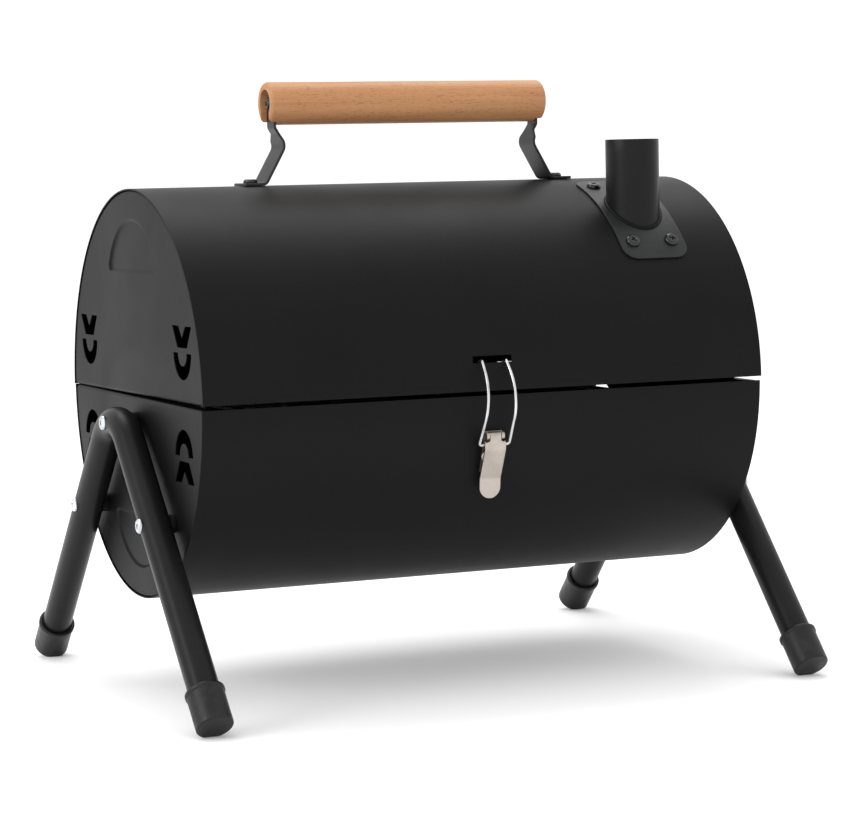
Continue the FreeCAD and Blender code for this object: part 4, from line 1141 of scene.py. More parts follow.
@dataclass
class EndPlate:
    """Pressed half disc with a rolled flange, an embossed D and two pairs of vents."""

    shop: Workshop
    half: Half
    end: End
    sheet: float = 0.001
    flange: float = 0.010
    rounding: float = 0.002
    corner: float = 0.0035
    vent_inset: float = 0.040
    smile_top: float = 0.0355
    smile_outer: float = 0.0185
    smile_inner: float = 0.009
    chevron: tuple[Flat, ...] = ((-0.010, 0.039), (0.010, 0.039), (0.020, 0.054), (0.007, 0.054),
                                 (0.0, 0.046), (-0.007, 0.054), (-0.020, 0.054))
    panel_inset: float = 0.022
    panel_height: float = 0.0353
    panel_radius: float = 0.0588
    panel_depth: float = 0.0015
    panel_slope: float = 0.0012
    soft: float = 0.0007
    tab_width: float = 0.010
    tab_sheet: float = 0.0012
    tab_inset: float = 0.026

    def __post_init__(self) -> None:
        """Take the plate's radius from its half of the barrel."""
        outer = self.shop.lid_radius if self.half is Half.LID else self.shop.body_radius
        self.radius = outer - self.sheet

    def put(self, flat: Iterable[Flat], depth: float) -> list[Vector]:
        """Place points given across and away from the split, at a depth behind the face."""
        x, shop = self.end.value * (self.shop.end_face - depth), self.shop
        return [Vector((x, y, shop.axis + self.half.value * (h - shop.sag(y, h)))) for y, h in flat]

    @staticmethod
    def segment(radius: float, centre: float, low: float, corner: float, steps: int = 96) -> list[Flat]:
        """Outline of a disc above a level line, with its two corners rounded.

        Args:
            radius: Radius of the disc.
            centre: Height of its centre.
            low: Height of the level line.
            corner: Radius of the corners.
            steps: Pieces in the long arc.

        Returns:
            The closed outline.
        """
        across = math.sqrt((radius - corner) ** 2 - (low + corner - centre) ** 2)
        lean = math.atan2(low + corner - centre, across)
        turns = [-math.pi / 2 + (lean + math.pi / 2) * i / 8 for i in range(8)]
        right = [(across + corner * math.cos(t), low + corner * (1 + math.sin(t))) for t in turns]
        arc = [lean + (math.pi - 2 * lean) * i / steps for i in range(steps + 1)]
        top = [(radius * math.cos(t), centre + radius * math.sin(t)) for t in arc]
        return right + top + [(-y, h) for y, h in reversed(right)]

    def rim(self, inset: float) -> list[Flat]:
        """Outline of the plate, pulled in."""
        return self.segment(self.radius - inset, 0.0, self.shop.half_gap + inset, self.corner - inset)

    def panel(self, grow: float) -> list[Flat]:
        """Outline of the embossed D, grown all round."""
        top = self.radius - self.panel_inset
        return self.segment(self.panel_radius + grow, top - self.panel_radius, top - self.panel_height - grow,
                            self.soft * 3 + self.panel_slope + grow, 64)

    def vents(self) -> list[list[Flat]]:
        """Outlines of the four vents.

        Returns:
            Closed outlines, given across and away from the split.
        """
        holes: list[list[Flat]] = []
        for side in (-1, 1):
            y = side * (self.radius - self.vent_inset)
            arc = [math.pi + math.pi * i / 28 for i in range(29)]
            smile = [(y + radius * math.cos(t), self.smile_top + radius * math.sin(t))
                     for radius, turns in ((self.smile_outer, arc), (self.smile_inner, reversed(arc)))
                     for t in turns]
            holes += [smile, [(y + across, h) for across, h in self.chevron]]
        return holes

    def build(self) -> bpy.types.Object:
        """Make the plate.

        Returns:
            The closed, eased mesh.
        """
        points: list[Vector] = []
        faces: list[tuple[int, ...]] = []

        def lay(ring: list[Vector]) -> range:
            """Add a ring of points and return their numbers."""
            points.extend(ring)
            return range(len(points) - len(ring), len(points))

        def skin(low: range, high: range) -> None:
            """Join two rings with a band of faces."""
            size = len(low)
            faces.extend((low[i], low[(i + 1) % size], high[(i + 1) % size], high[i]) for i in range(size))

        def fill(loops: list[range]) -> None:
            """Fill the first loop, leaving the others open.

            Args:
                loops: Point numbers of each loop.
            """
            flat = [i for loop in loops for i in loop]
            found = tessellate_polygon([[points[i] for i in loop] for loop in loops])
            faces.extend(tuple(flat[i] for i in face) for face in found)

        rows = [lay(self.put(self.rim(0.0), self.flange)), lay(self.put(self.rim(0.0), self.rounding))]
        for swing in quarter_turn(7)[1:]:
            rows.append(lay(self.put(self.rim(self.rounding * (1 - math.cos(swing))),
                                     self.rounding * (1 - math.sin(swing)))))
        emboss = []
        high, low = self.panel_slope + self.soft, -self.soft
        for step in range(9):
            share = step / 8
            emboss.append(lay(self.put(self.panel(high + (low - high) * share),
                                       self.panel_depth * share * share * (3 - 2 * share))))
        holes = [lay(self.put(ring, 0.0)) for ring in self.vents()]
        for run in (rows, emboss):
            for first, second in zip(run, run[1:]):
                skin(first, second)
        fill([rows[-1], emboss[0], *holes])
        fill([emboss[-1]])
        name = f"{self.half.name.lower()}_plate_{self.end.word}"
        plate = turned_out(mesh_object(name, points, faces), X_AXIS * self.end.value)
        return eased(walled(plate, self.sheet), 0.00018, 50.0)

    def tabs(self) -> bpy.types.Object:
        """Rest tabs on the inner edge of the body's flange.

        Returns:
            Both tabs as one mesh object.
        """
        inner = self.shop.end_face - self.flange
        axis, gap = self.shop.axis, self.shop.half_gap
        ends = sorted(self.end.value * x for x in (inner, inner + self.tab_sheet))
        parts = []
        for side in (-1, 1):
            y, half = side * (self.shop.body_radius - self.tab_inset), self.tab_width / 2
            parts.append(block("tab", Vector((ends[0], y - half, axis - gap - self.sheet)),
                               Vector((ends[1], y + half, axis + gap - self.shop.sag(y, gap)))))
        return eased(joined(f"rest_tabs_{self.end.word}", parts), 0.0002)


@dataclass
class Barrel:
    """The painted drum: two rolled sheets and four pressed end plates."""

    shop: Workshop
    sheet: float = 0.001
    edge: float = 0.00022
    slot_half: float = 0.015
    slot_low: float = 0.0212
    slot_height: float = 0.0049
    flue_clearance: float = 0.0004
    flue_height: float = 0.2
    columns: int = 73
    rows: int = 129

    def skin(self, half: Half) -> bpy.types.Object:
        """One rolled sheet.

        Args:
            half: Which half of the barrel.

        Returns:
            The sheet with its wall and eased edges.
        """
        shop = self.shop
        radius = shop.lid_radius if half is Half.LID else shop.body_radius
        front, rear = (math.asin((shop.half_gap - sag) / radius) for sag in (shop.front_sag, shop.rear_sag))
        start, end = (front, math.pi - rear) if half is Half.LID else (math.pi + rear, 2 * math.pi - front)
        sheet = shop.drums.run(f"{half.name.lower()}_sheet", nothing(), shop.materials[Slot.BLACK_PAINT],
                               Radius=radius, Half_Length=shop.half_length, Axis_Height=shop.axis,
                               Low_Angle=start, High_Angle=end, Columns=self.columns, Rows=self.rows)
        return walled(sheet, self.sheet)

    def cutters(self) -> list[bpy.types.Object]:
        """Shapes of the lid's openings: the flue under the chimney and the latch's slot.

        Returns:
            The two closed shapes.
        """
        shop = self.shop
        low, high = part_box("chimney_pipe")
        radius, middle = (high.x - low.x) / 2 + self.flue_clearance, (low + high) / 2
        profile = [(0, 0), (radius, 0), (radius, self.flue_height), (0, self.flue_height)]
        flue = lathe("flue", profile, Vector((middle.x, middle.y, shop.axis)), Z_AXIS, 48)
        sill = shop.axis + self.slot_low
        window = block("window", Vector((-self.slot_half, -1.1 * shop.lid_radius, sill)),
                       Vector((self.slot_half, -shop.lid_radius / 2, sill + self.slot_height)))
        return [flue, window]

    def make(self) -> None:
        """Build and dress the drum."""
        shop = self.shop
        lid = cut(self.skin(Half.LID), self.cutters())
        shop.ship(eased(lid, self.edge, 50.0), "lid", Slot.BLACK_PAINT, "lid_shell")
        shop.ship(eased(self.skin(Half.BODY), self.edge, 50.0), "barrel", Slot.BLACK_PAINT, "body_shell")
        for end in End:
            for half, body in ((Half.LID, "lid"), (Half.BODY, "barrel")):
                plate = EndPlate(shop, half, end)
                shop.ship(plate.build(), body, Slot.BLACK_PAINT, f"{half.name.lower()}_end_plate_{end.word}")
                if half is Half.BODY:
                    shop.ship(plate.tabs(), body, Slot.BLACK_PAINT)
        shop.dress(Slot.BLACK_PAINT, "grid_ledges", "grate_ledges")


# ---------------------------------------------------------------- legs

@dataclass
class Legs:
    """Two bent tubes with plastic caps, each held by three screws through spacers."""

    shop: Workshop
    tube: float = 0.022
    bend: float = 0.036
    tilt: float = math.radians(43.0)
    apex_drop: float = 0.0184
    screw_inset: float = 0.031
    seat: float = 0.0006
    seat_radius: float = 0.0054
    screw_past: float = 0.0065
    screw_thread: float = 0.008
    standoff: float = 0.0025
    spacer: float = 0.013
    spacer_bore: float = 0.0052
    spacer_lap: float = 0.0014
    cap_wall: float = 0.002
    cap_length: float = 0.029
    cap_end: float = 0.003
    cap_lip: float = 0.0008
    cap_lip_length: float = 0.003
    cap_rounding: float = 0.0015
    cap_facet: float = 0.0009

    def __post_init__(self) -> None:
        """Work out the centre line of a leg."""
        low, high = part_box("leg_right")
        self.x = (low.x + high.x) / 2
        self.run = Vector((0.0, math.sin(self.tilt), -math.cos(self.tilt)))
        middle = self.shop.axis - self.apex_drop - self.bend
        slope = math.sin(self.tilt)
        self.tangent = Vector((0.0, self.bend * math.cos(self.tilt), middle + self.bend * slope))
        self.peak = Vector((0.0, 0.0, middle + self.bend / slope))
        rim = self.tube / 2 + self.cap_wall - self.cap_rounding
        dip = rim * self.run.y + self.cap_rounding * (1 + self.run.z) - self.cap_facet
        self.foot = self.tangent + self.run * ((dip - self.tangent.z) / self.run.z)

    def screw_places(self) -> list[Flat]:
        """Y and Z of a leg's three screws.

        Returns:
            The places, the top one first.
        """
        start = self.tangent - Z_AXIS * self.shop.axis
        target = self.shop.body_radius - self.screw_inset
        along = start.dot(self.run)
        low = self.tangent + self.run * (math.sqrt(along ** 2 - start.length_squared + target ** 2) - along)
        return [(0.0, self.shop.axis - self.apex_drop), (-low.y, low.z), (low.y, low.z)]

    def bent_tube(self, end: End) -> bpy.types.Object:
        """One leg tube with a flat seat under each screw.

        Args:
            end: Which end of the barrel.

        Returns:
            The tube's mesh object.
        """
        shop, x = self.shop, self.x * end.value
        inner = self.foot - self.run * self.cap_end
        points = [Vector((x, y, z)) for y, z in ((-inner.y, inner.z), (0.0, self.peak.z), (inner.y, inner.z))]
        tube = shop.rods.run(f"leg_tube_{end.word}", path_object(points, [0.0, self.bend, 0.0]),
                             shop.materials[Slot.TUBE_PAINT], Radius=self.tube / 2, Sides=64, Bend_Steps=40)
        turned_out(tube)
        face, wide, tall = self.x + self.tube / 2 - self.seat, self.seat_radius, 0.01
        cutters = [lathe("seat", [(0, 0), (wide, 0), (wide, tall), (0, tall)],
                         Vector((face * end.value, y, z)), X_AXIS * end.value, 40)
                   for y, z in self.screw_places()]
        return sharpened(cut(tube, cutters))

    def cap(self, end: End, side: int) -> bpy.types.Object:
        """One moulded cap whose rim is worn flat on the table.

        Args:
            end: Which end of the barrel.
            side: -1 for the front foot, 1 for the rear one.

        Returns:
            The cap's mesh object.
        """
        wide, tall = self.tube / 2 + self.cap_wall, self.cap_length
        lip, low = wide + self.cap_lip, tall - self.cap_lip_length
        bore, ease = self.tube / 2, 0.0005
        profile = [(0.0, 0.0)]
        profile += [(wide - self.cap_rounding * (1 - math.sin(t)), self.cap_rounding * (1 - math.cos(t)))
                    for t in quarter_turn(6)]
        profile += [(wide, low - 0.0006), (wide + 0.0002, low - 0.0001), (lip - 0.0002, low + 0.0001),
                    (lip, low + 0.0004), (lip, tall - ease), (lip - ease, tall), (bore + ease, tall),
                    (bore, tall - ease), (bore, self.cap_end), (0.0, self.cap_end)]
        base = Vector((self.x * end.value, side * self.foot.y, self.foot.z))
        up = Vector((0.0, -side * self.run.y, -self.run.z))
        name = f"cap_{'front' if side < 0 else 'rear'}_{end.word}"
        piece = lathe(name, profile, base, up, 72)
        for corner in piece.data.vertices:
            corner.co.z = max(corner.co.z, 0.0)
        return sharpened(piece, 50.0)

    def make(self) -> None:
        """Build and dress both legs."""
        shop = self.shop
        places = self.screw_places()
        seat = self.x + self.tube / 2 - self.seat
        heads, collars = [], []
        for end in End:
            shop.ship(self.bent_tube(end), "barrel", Slot.TUBE_PAINT, f"leg_{end.word}")
            for side, word in ((-1, "front"), (1, "rear")):
                shop.ship(self.cap(end, side), "barrel", Slot.CAP_PLASTIC, f"foot_cap_{word}_{end.word}")
            for i, (y, z) in enumerate(places):
                out = X_AXIS * end.value
                heads.append(Spot(Vector((seat * end.value, y, z)), out, 0.5 + 1.3 * i + end.value))
                collars.append(Spot(Vector((shop.end_face * end.value, y, z)), out))
        screw = Screw(reach=seat - shop.end_face + self.screw_past, thread=self.screw_thread).model()
        screws = fasten(shop, "leg_screw_set", screw, heads, Slot.ZINC_SCREW)
        shop.ship(screws, "barrel", Slot.ZINC_SCREW, "leg_screws")
        wide, bore, deep = self.spacer / 2, self.spacer_bore / 2, self.standoff + self.spacer_lap
        ring = [(bore, 0.0), (wide - 0.0003, 0.0), (wide, 0.0003), (wide, deep - 0.0002),
                (wide - 0.0002, deep), (bore, deep)]
        collar = turned_out(lathe("collar", ring, Vector(), Z_AXIS, 40, loop=True))
        # The steel spacers take the dark tube paint: painted shade in the narrow gap between leg tube and end
        # plate.
        spacers = fasten(shop, "leg_spacer_set", collar, collars, Slot.TUBE_PAINT)
        shop.ship(spacers, "barrel", Slot.TUBE_PAINT, "leg_spacers")
        shop.dress(Slot.PLAIN_STEEL, "leg_nuts")


# ---------------------------------------------------------------- chimney

@dataclass
class Chimney:
    """Open pipe welded to a curved saddle plate that four screws hold to the lid."""

    shop: Workshop
    wall: float = 0.0012
    saddle_sheet: float = 0.0015
    saddle_width: float = 0.053
    saddle_arc: float = 0.104
    corner: float = 0.011
    screw_x: float = 0.0315
    screw_arc: float = 0.073
    saddle_clearance: float = 0.00002
    bead: float = 0.0014
    bead_pitch: float = 0.0021
    bead_ripple: float = 0.11
    bead_out: float = 0.0004
    bead_lift: float = 0.0002
    screw_reach: float = 0.008

    def __post_init__(self) -> None:
        """Find the pipe's axis."""
        self.low, self.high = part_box("chimney_pipe")
        self.radius = (self.high.x - self.low.x) / 2
        self.x, self.y = (self.low.x + self.high.x) / 2, (self.low.y + self.high.y) / 2
        self.angle = math.acos(-self.y / self.shop.lid_radius)

    def pipe(self) -> bpy.types.Object:
        """The open pipe with a rolled-smooth rim.

        Returns:
            The pipe's mesh object.
        """
        outer, inner = self.radius, self.radius - self.wall
        top, low, ease = self.high.z, self.low.z, 0.0004
        profile = [(outer, low), (outer, low + 0.02), (outer, top - 0.01), (outer, top - ease),
                   (outer - ease * 0.3, top - ease * 0.3), (outer - ease, top), (inner + ease, top),
                   (inner + ease * 0.3, top - ease * 0.3), (inner, top - ease), (inner, top - 0.01),
                   (inner, low + 0.02), (inner, low)]
        pipe = lathe("pipe", profile, Vector((self.x, self.y, 0.0)), Z_AXIS, 112, loop=True)
        return sharpened(turned_out(pipe))

    def on_saddle(self, x: float, arc: float, lift: float = 0.0) -> Vector:
        """Point on the lid beside the pipe: across, along the curve, and above the sheet."""
        radius = self.shop.lid_radius
        return self.shop.on_drum(self.x + x, radius + lift, self.angle + arc / radius)

    def saddle_outline(self) -> list[Flat]:
        """Rounded rectangle of the saddle laid flat, with points along its sides.

        Returns:
            The outline as distances across the lid and along its curve.
        """
        wide, tall = self.saddle_width / 2 - self.corner, self.saddle_arc / 2 - self.corner
        corners = []
        for turn, (x, arc) in enumerate(((1, -1), (1, 1), (-1, 1), (-1, -1))):
            swings = [math.pi / 2 * (turn - 1) + swing for swing in quarter_turn(8)]
            corners.append([(x * wide + self.corner * math.cos(t), arc * tall + self.corner * math.sin(t))
                            for t in swings])
        outline: list[Flat] = []
        for corner, following in zip(corners, corners[1:] + corners[:1]):
            (x, arc), (to_x, to_arc) = corner[-1], following[0]
            outline += corner
            outline += [(x + (to_x - x) * i / 10, arc + (to_arc - arc) * i / 10) for i in range(1, 10)]
        return outline

    def saddle(self) -> bpy.types.Object:
        """The curved plate with its rounded corners and the pipe's hole.

        Returns:
            The plate's mesh object.
        """
        outline = self.saddle_outline()
        hole = []
        for x, arc in outline:
            turn = math.atan2(arc, x)
            y = self.y + self.radius * math.sin(turn)
            hole.append((self.radius * math.cos(turn),
                         (math.acos(-y / self.shop.lid_radius) - self.angle) * self.shop.lid_radius))
        rings = []
        for step in range(11):
            share = step / 10
            rings.append([self.on_saddle(x + (to_x - x) * share, arc + (to_arc - arc) * share,
                                         self.saddle_clearance)
                          for (x, arc), (to_x, to_arc) in zip(outline, hole)])
        plate = loft("saddle_plate", rings, ends=False)
        turned_out(plate, Vector((0, -1, 1)))
        return eased(walled(plate, self.saddle_sheet, outward=True), 0.0003, 50.0, 3)

    def weld(self) -> bpy.types.Object:
        """The bead where the pipe meets the saddle.

        Returns:
            The bead's mesh object.
        """
        shop, steps = self.shop, 96
        radius = self.radius + self.bead_out
        lift = shop.lid_radius + self.saddle_sheet + self.bead_lift
        points = []
        for step in range(steps):
            turn = 2 * math.pi * step / steps
            x, y = self.x + radius * math.cos(turn), self.y + radius * math.sin(turn)
            points.append(Vector((x, y, shop.axis + math.sqrt(lift ** 2 - y ** 2))))
        bead = shop.beads.run("weld_bead", path_object(points, [1.0] * steps, True),
                              shop.materials[Slot.BLACK_PAINT], Radius=self.bead,
                              Ripple_Pitch=self.bead_pitch, Ripple=self.bead_ripple, Seed=4)
        return turned_out(bead)

    def make(self) -> None:
        """Build and dress the chimney."""
        shop = self.shop
        shop.ship(self.pipe(), "lid", Slot.TUBE_PAINT, "chimney_pipe")
        shop.ship(self.saddle(), "lid", Slot.STRAP_PAINT, "chimney_saddle")
        shop.ship(self.weld(), "lid", Slot.BLACK_PAINT)
        spots = []
        for i, (sx, sy) in enumerate(((-1, -1), (1, -1), (-1, 1), (1, 1))):
            seat = self.on_saddle(sx * self.screw_x / 2, sy * self.screw_arc / 2, self.saddle_sheet)
            out = (seat - Vector((seat.x, 0.0, shop.axis))).normalized()
            spots.append(Spot(seat, out, 0.4 + 0.9 * i))
        screw = Screw(reach=self.screw_reach).model()
        screws = fasten(shop, "chimney_screw_set", screw, spots, Slot.BLACK_SCREW)
        shop.ship(screws, "lid", Slot.BLACK_SCREW, "chimney_screws")
        shop.dress(Slot.PLAIN_STEEL, "chimney_nuts")


# ---------------------------------------------------------------- handle

@dataclass
class Handle:
    """Turned wooden grip on two bent steel straps."""

    shop: Workshop
    rounding: float = 0.0025
    recess: float = 0.020
    recess_depth: float = 0.006
    notch_half: float = 0.008
    strap_width: float = 0.025
    strap_sheet: float = 0.002
    tab_width: float = 0.014
    bend: float = 0.004
    foot: float = 0.016
    heel_outset: float = 0.0046
    elbow_inset: float = 0.0105
    elbow_rise: float = 0.0275
    neck_inset: float = 0.0075
    neck_drop: float = 0.006
    shoulder_drop: float = 0.002
    foot_screw: float = 0.008
    foot_screw_reach: float = 0.0085
    tip_half: float = 0.0012

    def __post_init__(self) -> None:
        """Find the grip."""
        low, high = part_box("handle_grip")
        self.end, self.radius, self.z = high.x, high.y, (low.z + high.z) / 2
        self.crown = self.shop.axis + self.shop.lid_radius

    def grip(self) -> bpy.types.Object:
        """The wooden grip with a recess and a notch in each end.

        Returns:
            The grip's mesh object.
        """
        wide, end, floor = self.radius, self.end, self.end - self.recess_depth
        half = [(0.0, floor), (self.recess / 2, floor), (self.recess / 2, end - 0.0004),
                (self.recess / 2 + 0.0004, end)]
        half += [(wide - self.rounding * (1 - math.cos(t)), end - self.rounding * (1 - math.sin(t)))
                 for t in reversed(quarter_turn(6))]
        half += [(wide, end - self.recess_depth - 0.002), (wide, end * 0.6), (wide, end * 0.2)]
        profile = half + [(radius, -x) for radius, x in reversed(half)]
        body = turned_out(lathe("grip", profile, Vector((0.0, 0.0, self.z)), X_AXIS, 96))
        cutters = []
        for side in (-1, 1):
            ends = sorted((side * (end + 0.001), side * floor))
            cutters.append(block("notch", Vector((ends[0], -self.notch_half, self.z - 2 * wide)),
                                 Vector((ends[1], self.notch_half, self.z))))
        return eased(sharpened(cut(body, cutters)), 0.0003, 50.0, 3)

    def strap(self, end: End) -> bpy.types.Object:
        """One strap from its foot on the lid up into the grip's recess.

        Args:
            end: Which end of the grip.

        Returns:
            The strap's mesh object.
        """
        foot_z, heel = self.crown + self.strap_sheet / 2, self.end + self.heel_outset
        under = self.z - self.radius
        neck, top = under - self.neck_drop, self.z + self.tab_width / 2
        tab = self.end - self.recess_depth + self.strap_sheet / 2
        corners = [(heel + self.foot, foot_z), (heel, foot_z),
                   (self.end - self.elbow_inset, self.crown + self.elbow_rise),
                   (self.end - self.neck_inset, neck), (tab, under - self.shoulder_drop), (tab, top)]
        path = rounded([Vector((x * end.value, 0.0, z)) for x, z in corners],
                       [self.bend, self.bend * 2, self.bend, self.bend], 8)
        fine = subdivided(path, 0.001)
        wide, slim = self.strap_width / 2, self.tab_width / 2
        halves = []
        for point in fine:
            half = min(wide, max(slim, slim + (neck - point.z)))
            over = point.z - (top - slim)
            tip = max(self.tip_half, math.sqrt(max(0.0, slim ** 2 - over ** 2)))
            halves.append(tip if over > 0 else half)
        piece = strip(f"strap_{end.word}", fine, Y_AXIS, halves, self.strap_sheet)
        return eased(piece, 0.00035, 50.0)

    def make(self) -> None:
        """Build and dress the handle."""
        shop = self.shop
        shop.ship(self.grip(), "lid", Slot.WOOD, "handle_grip")
        feet, ends = [], []
        for end in End:
            shop.ship(self.strap(end), "lid", Slot.STRAP_PAINT, f"handle_strap_{end.word}")
            x = end.value * (self.end + self.heel_outset + self.foot_screw)
            feet.append(Spot(Vector((x, 0.0, self.crown + self.strap_sheet)), Z_AXIS, 0.6 + end.value))
            x = end.value * (self.end - self.recess_depth + self.strap_sheet)
            ends.append(Spot(Vector((x, 0.0, self.z)), X_AXIS * end.value, 0.3 + end.value))
        machine = Screw(reach=self.foot_screw_reach)
        wood = Screw(head=0.008, shank=0.004, reach=0.024, thread=0.02, pitch=0.0014, recess=0.0044)
        for word, screw, spots in (("foot", machine, feet), ("grip", wood, ends)):
            screws = fasten(shop, f"{word}_screw_set", screw.model(), spots, Slot.BLACK_SCREW)
            shop.ship(screws, "lid", Slot.BLACK_SCREW, f"handle_{word}_screws")
        shop.dress(Slot.PLAIN_STEEL, "handle_foot_nuts")


# ---------------------------------------------------------------- hinges and latch

@dataclass
class Hinges:
    """Two butt hinges on the back of the barrel."""

    shop: Workshop
    leaf: float = 0.0015
    leaf_edge: float = 0.005
    leaf_height: float = 0.020
    rivet_side: float = 0.012

    def rivet_spots(self, half: Half) -> list[Spot]:
        """Rivets of the leaves on one half.

        Args:
            half: Which half of the barrel.

        Returns:
            A spot for each rivet.
        """
        shop, node = self.shop, f"hinge_{half.name.lower()}_leaf_right"
        low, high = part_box(node)
        middle = (low.x + high.x) / 2
        radius = shop.lid_radius if half is Half.LID else shop.body_radius
        reach = [math.asin(z / radius) for z in (self.leaf_edge, self.leaf_edge + self.leaf_height)]
        angle = math.pi - half.value * sum(reach) / 2
        spots = []
        for x in (leaf + side for leaf in (-middle, middle) for side in (-self.rivet_side, self.rivet_side)):
            seat = shop.on_drum(x, radius + self.leaf, angle)
            spots.append(Spot(seat, (seat - Vector((x, 0.0, shop.axis))).normalized()))
        return spots

    def make(self) -> None:
        """Build the rivets and dress the leaves and pins."""
        shop = self.shop
        for half, body in ((Half.LID, "lid"), (Half.BODY, "barrel")):
            word = half.name.lower()
            rivets = fasten(shop, f"hinge_rivet_set_{word}", Rivet().model(), self.rivet_spots(half),
                            Slot.BLACK_PAINT)
            shop.ship(rivets, body, Slot.BLACK_PAINT, f"hinge_{word}_rivets")
            shop.dress(Slot.BLACK_PAINT, f"hinge_{word}_leaf_left", f"hinge_{word}_leaf_right")
        shop.dress(Slot.PLAIN_STEEL, "hinge_pin_left", "hinge_pin_right")


@dataclass
class Latch:
    """Draw latch: a riveted base, a bent lever and a wire bail that hooks into the lid's slot."""

    shop: Workshop
    sheet: float = 0.0012
    pin_drop: float = 0.030
    knuckle: float = 0.0027
    side_gap: float = 0.0004
    roll: float = 0.0084
    lever_width: float = 0.016
    shoulder: float = 0.004
    shoulder_slope: float = 4.0
    shoulder_step: float = 0.0008
    tip_half: float = 0.0012
    pin_bore: float = 0.0031
    edge: float = 0.0002
    lever_length: float = 0.045
    knee: float = 0.010
    kick: float = 0.014
    knee_out: float = 0.0012
    dip: float = 0.0012
    tip_out: float = 0.0038
    bend: float = 0.006
    ear: float = 0.0023
    wire: float = 0.0022
    low_gap: float = 0.0024
    high_gap: float = 0.0002
    pivot_drop: float = 0.0063
    pivot_out: float = 0.0004
    slot_low: float = 0.0212
    bar_gap: float = 0.0003
    bar_depth: float = 0.0017
    bar_sink: float = 0.0040
    bar_dip: float = 0.0032
    end_inset: float = 0.0008
    wire_corner: float = 0.002
    bow: float = 0.028
    bow_high: float = 0.0147
    bow_low: float = 0.0154
    bow_rise: float = 0.008
    bow_drop: float = 0.011
    hook_out: float = 0.0028
    rivet_drop: float = 0.015
    rivet_spread: float = 0.007
    rivet_grip: float = 0.0022

    def __post_init__(self) -> None:
        """Find the pin."""
        self.pin_radius = self.shop.body_radius + self.sheet + self.knuckle + self.side_gap
        self.pin = self.shop.at_drop(0.0, self.pin_radius, self.pin_drop)

    def lever(self) -> bpy.types.Object:
        """The lever: a bent plate with a round kicked-out tip, a roll round the pin and two ears.

        Returns:
            The lever's mesh object.
        """
        shop = self.shop
        start, tip = self.pin_radius + self.knuckle - self.sheet / 2, self.pin_drop + self.lever_length
        corners = [shop.at_drop(0, start, self.pin_drop),
                   shop.at_drop(0, start + self.knee_out, self.pin_drop + self.knee),
                   shop.at_drop(0, start - self.dip, tip - self.kick),
                   shop.at_drop(0, start + self.tip_out, tip)]
        fine = subdivided(rounded(corners, [self.bend, self.bend], 8), 0.0007)
        half, slim, end = self.lever_width / 2, self.roll / 2, shop.axis - tip + self.lever_width / 2
        halves = []
        for point in fine:
            if point.z > self.pin.z - self.shoulder:
                halves.append(slim)
            elif point.z >= end:
                below = self.pin.z - self.shoulder - point.z
                halves.append(min(half, slim + self.shoulder_slope * below + self.shoulder_step))
            else:
                halves.append(max(self.tip_half, math.sqrt(max(0.0, half ** 2 - (end - point.z) ** 2))))
        plate = eased(strip("lever", fine, X_AXIS, halves, self.sheet), 0.00032, 50.0, 3)
        return joined("lever_plate", [plate, self.lever_roll(slim), *self.lever_ears(corners[1].y)])

    def lever_roll(self, half: float) -> bpy.types.Object:
        """The roll of the lever's top edge round the pin.

        Args:
            half: Half the length of the roll.

        Returns:
            The roll's mesh object.
        """
        bore, ease = self.pin_bore / 2, self.edge
        ring = [(self.knuckle, ease - half), (self.knuckle, half - ease), (self.knuckle - ease, half),
                (bore, half), (bore, -half), (self.knuckle - ease, -half)]
        return sharpened(turned_out(lathe("roll", ring, self.pin, X_AXIS, 32, loop=True)))

    def lever_ears(self, root: float) -> list[bpy.types.Object]:
        """The round ears that hold the wire, each on a short web.

        Args:
            root: Y at which the webs leave the lever's plate.

        Returns:
            The ears' and webs' mesh objects.
        """
        ease, thick = self.edge, self.sheet / 2
        pivot = self.shop.at_drop(0.0, self.pin_radius + self.pivot_out, self.pin_drop + self.pivot_drop)
        ring = [(0.0, -thick), (self.ear - ease, -thick), (self.ear, ease - thick),
                (self.ear, thick - ease), (self.ear - ease, thick), (0.0, thick)]
        parts = []
        for side in (-1, 1):
            x = side * (self.lever_width / 2 - thick)
            disc = lathe("ear", ring, Vector((x, pivot.y, pivot.z)), X_AXIS, 32)
            web = block("web", Vector((x - thick, root, pivot.z - self.ear)),
                        Vector((x + thick, pivot.y, pivot.z + self.ear)))
            parts += [sharpened(turned_out(disc)), eased(web, ease)]
        return parts

    def bail(self) -> bpy.types.Object:
        """The bent wire from ear to ear through the lid's slot.

        Returns:
            The wire's mesh object.
        """
        shop, radius = self.shop, self.wire / 2
        rise = self.slot_low + self.bar_gap + radius
        inner = self.lever_width / 2 - self.sheet - self.end_inset
        low, high = (self.lever_width / 2 + gap + radius for gap in (self.low_gap, self.high_gap))
        step = (low - high) / 3
        pivot = (self.pin_radius + self.pivot_out, self.pin_drop + self.pivot_drop)
        side = [shop.at_drop(inner, *pivot), shop.at_drop(low, *pivot),
                shop.at_drop(low - step, shop.body_radius + self.bow_low, self.bow_drop),
                shop.at_drop(high + step, shop.body_radius + self.bow_high, -self.bow_rise),
                shop.at_drop(high, shop.lid_radius + self.hook_out, -rise),
                shop.at_drop(high, shop.lid_radius - self.bar_depth, -rise),
                shop.at_drop(high, shop.lid_radius - self.bar_sink, self.bar_dip - rise)]
        bends = [0.0, self.wire_corner, self.bow, self.bow] + [self.wire_corner] * 3
        other = [Vector((-point.x, point.y, point.z)) for point in reversed(side)]
        wire = shop.rods.run("bail_wire", path_object(side + other, bends + bends[::-1]),
                             shop.materials[Slot.CHROME_WIRE], Radius=radius, Sides=20, Bend_Steps=12)
        return sharpened(turned_out(wire))

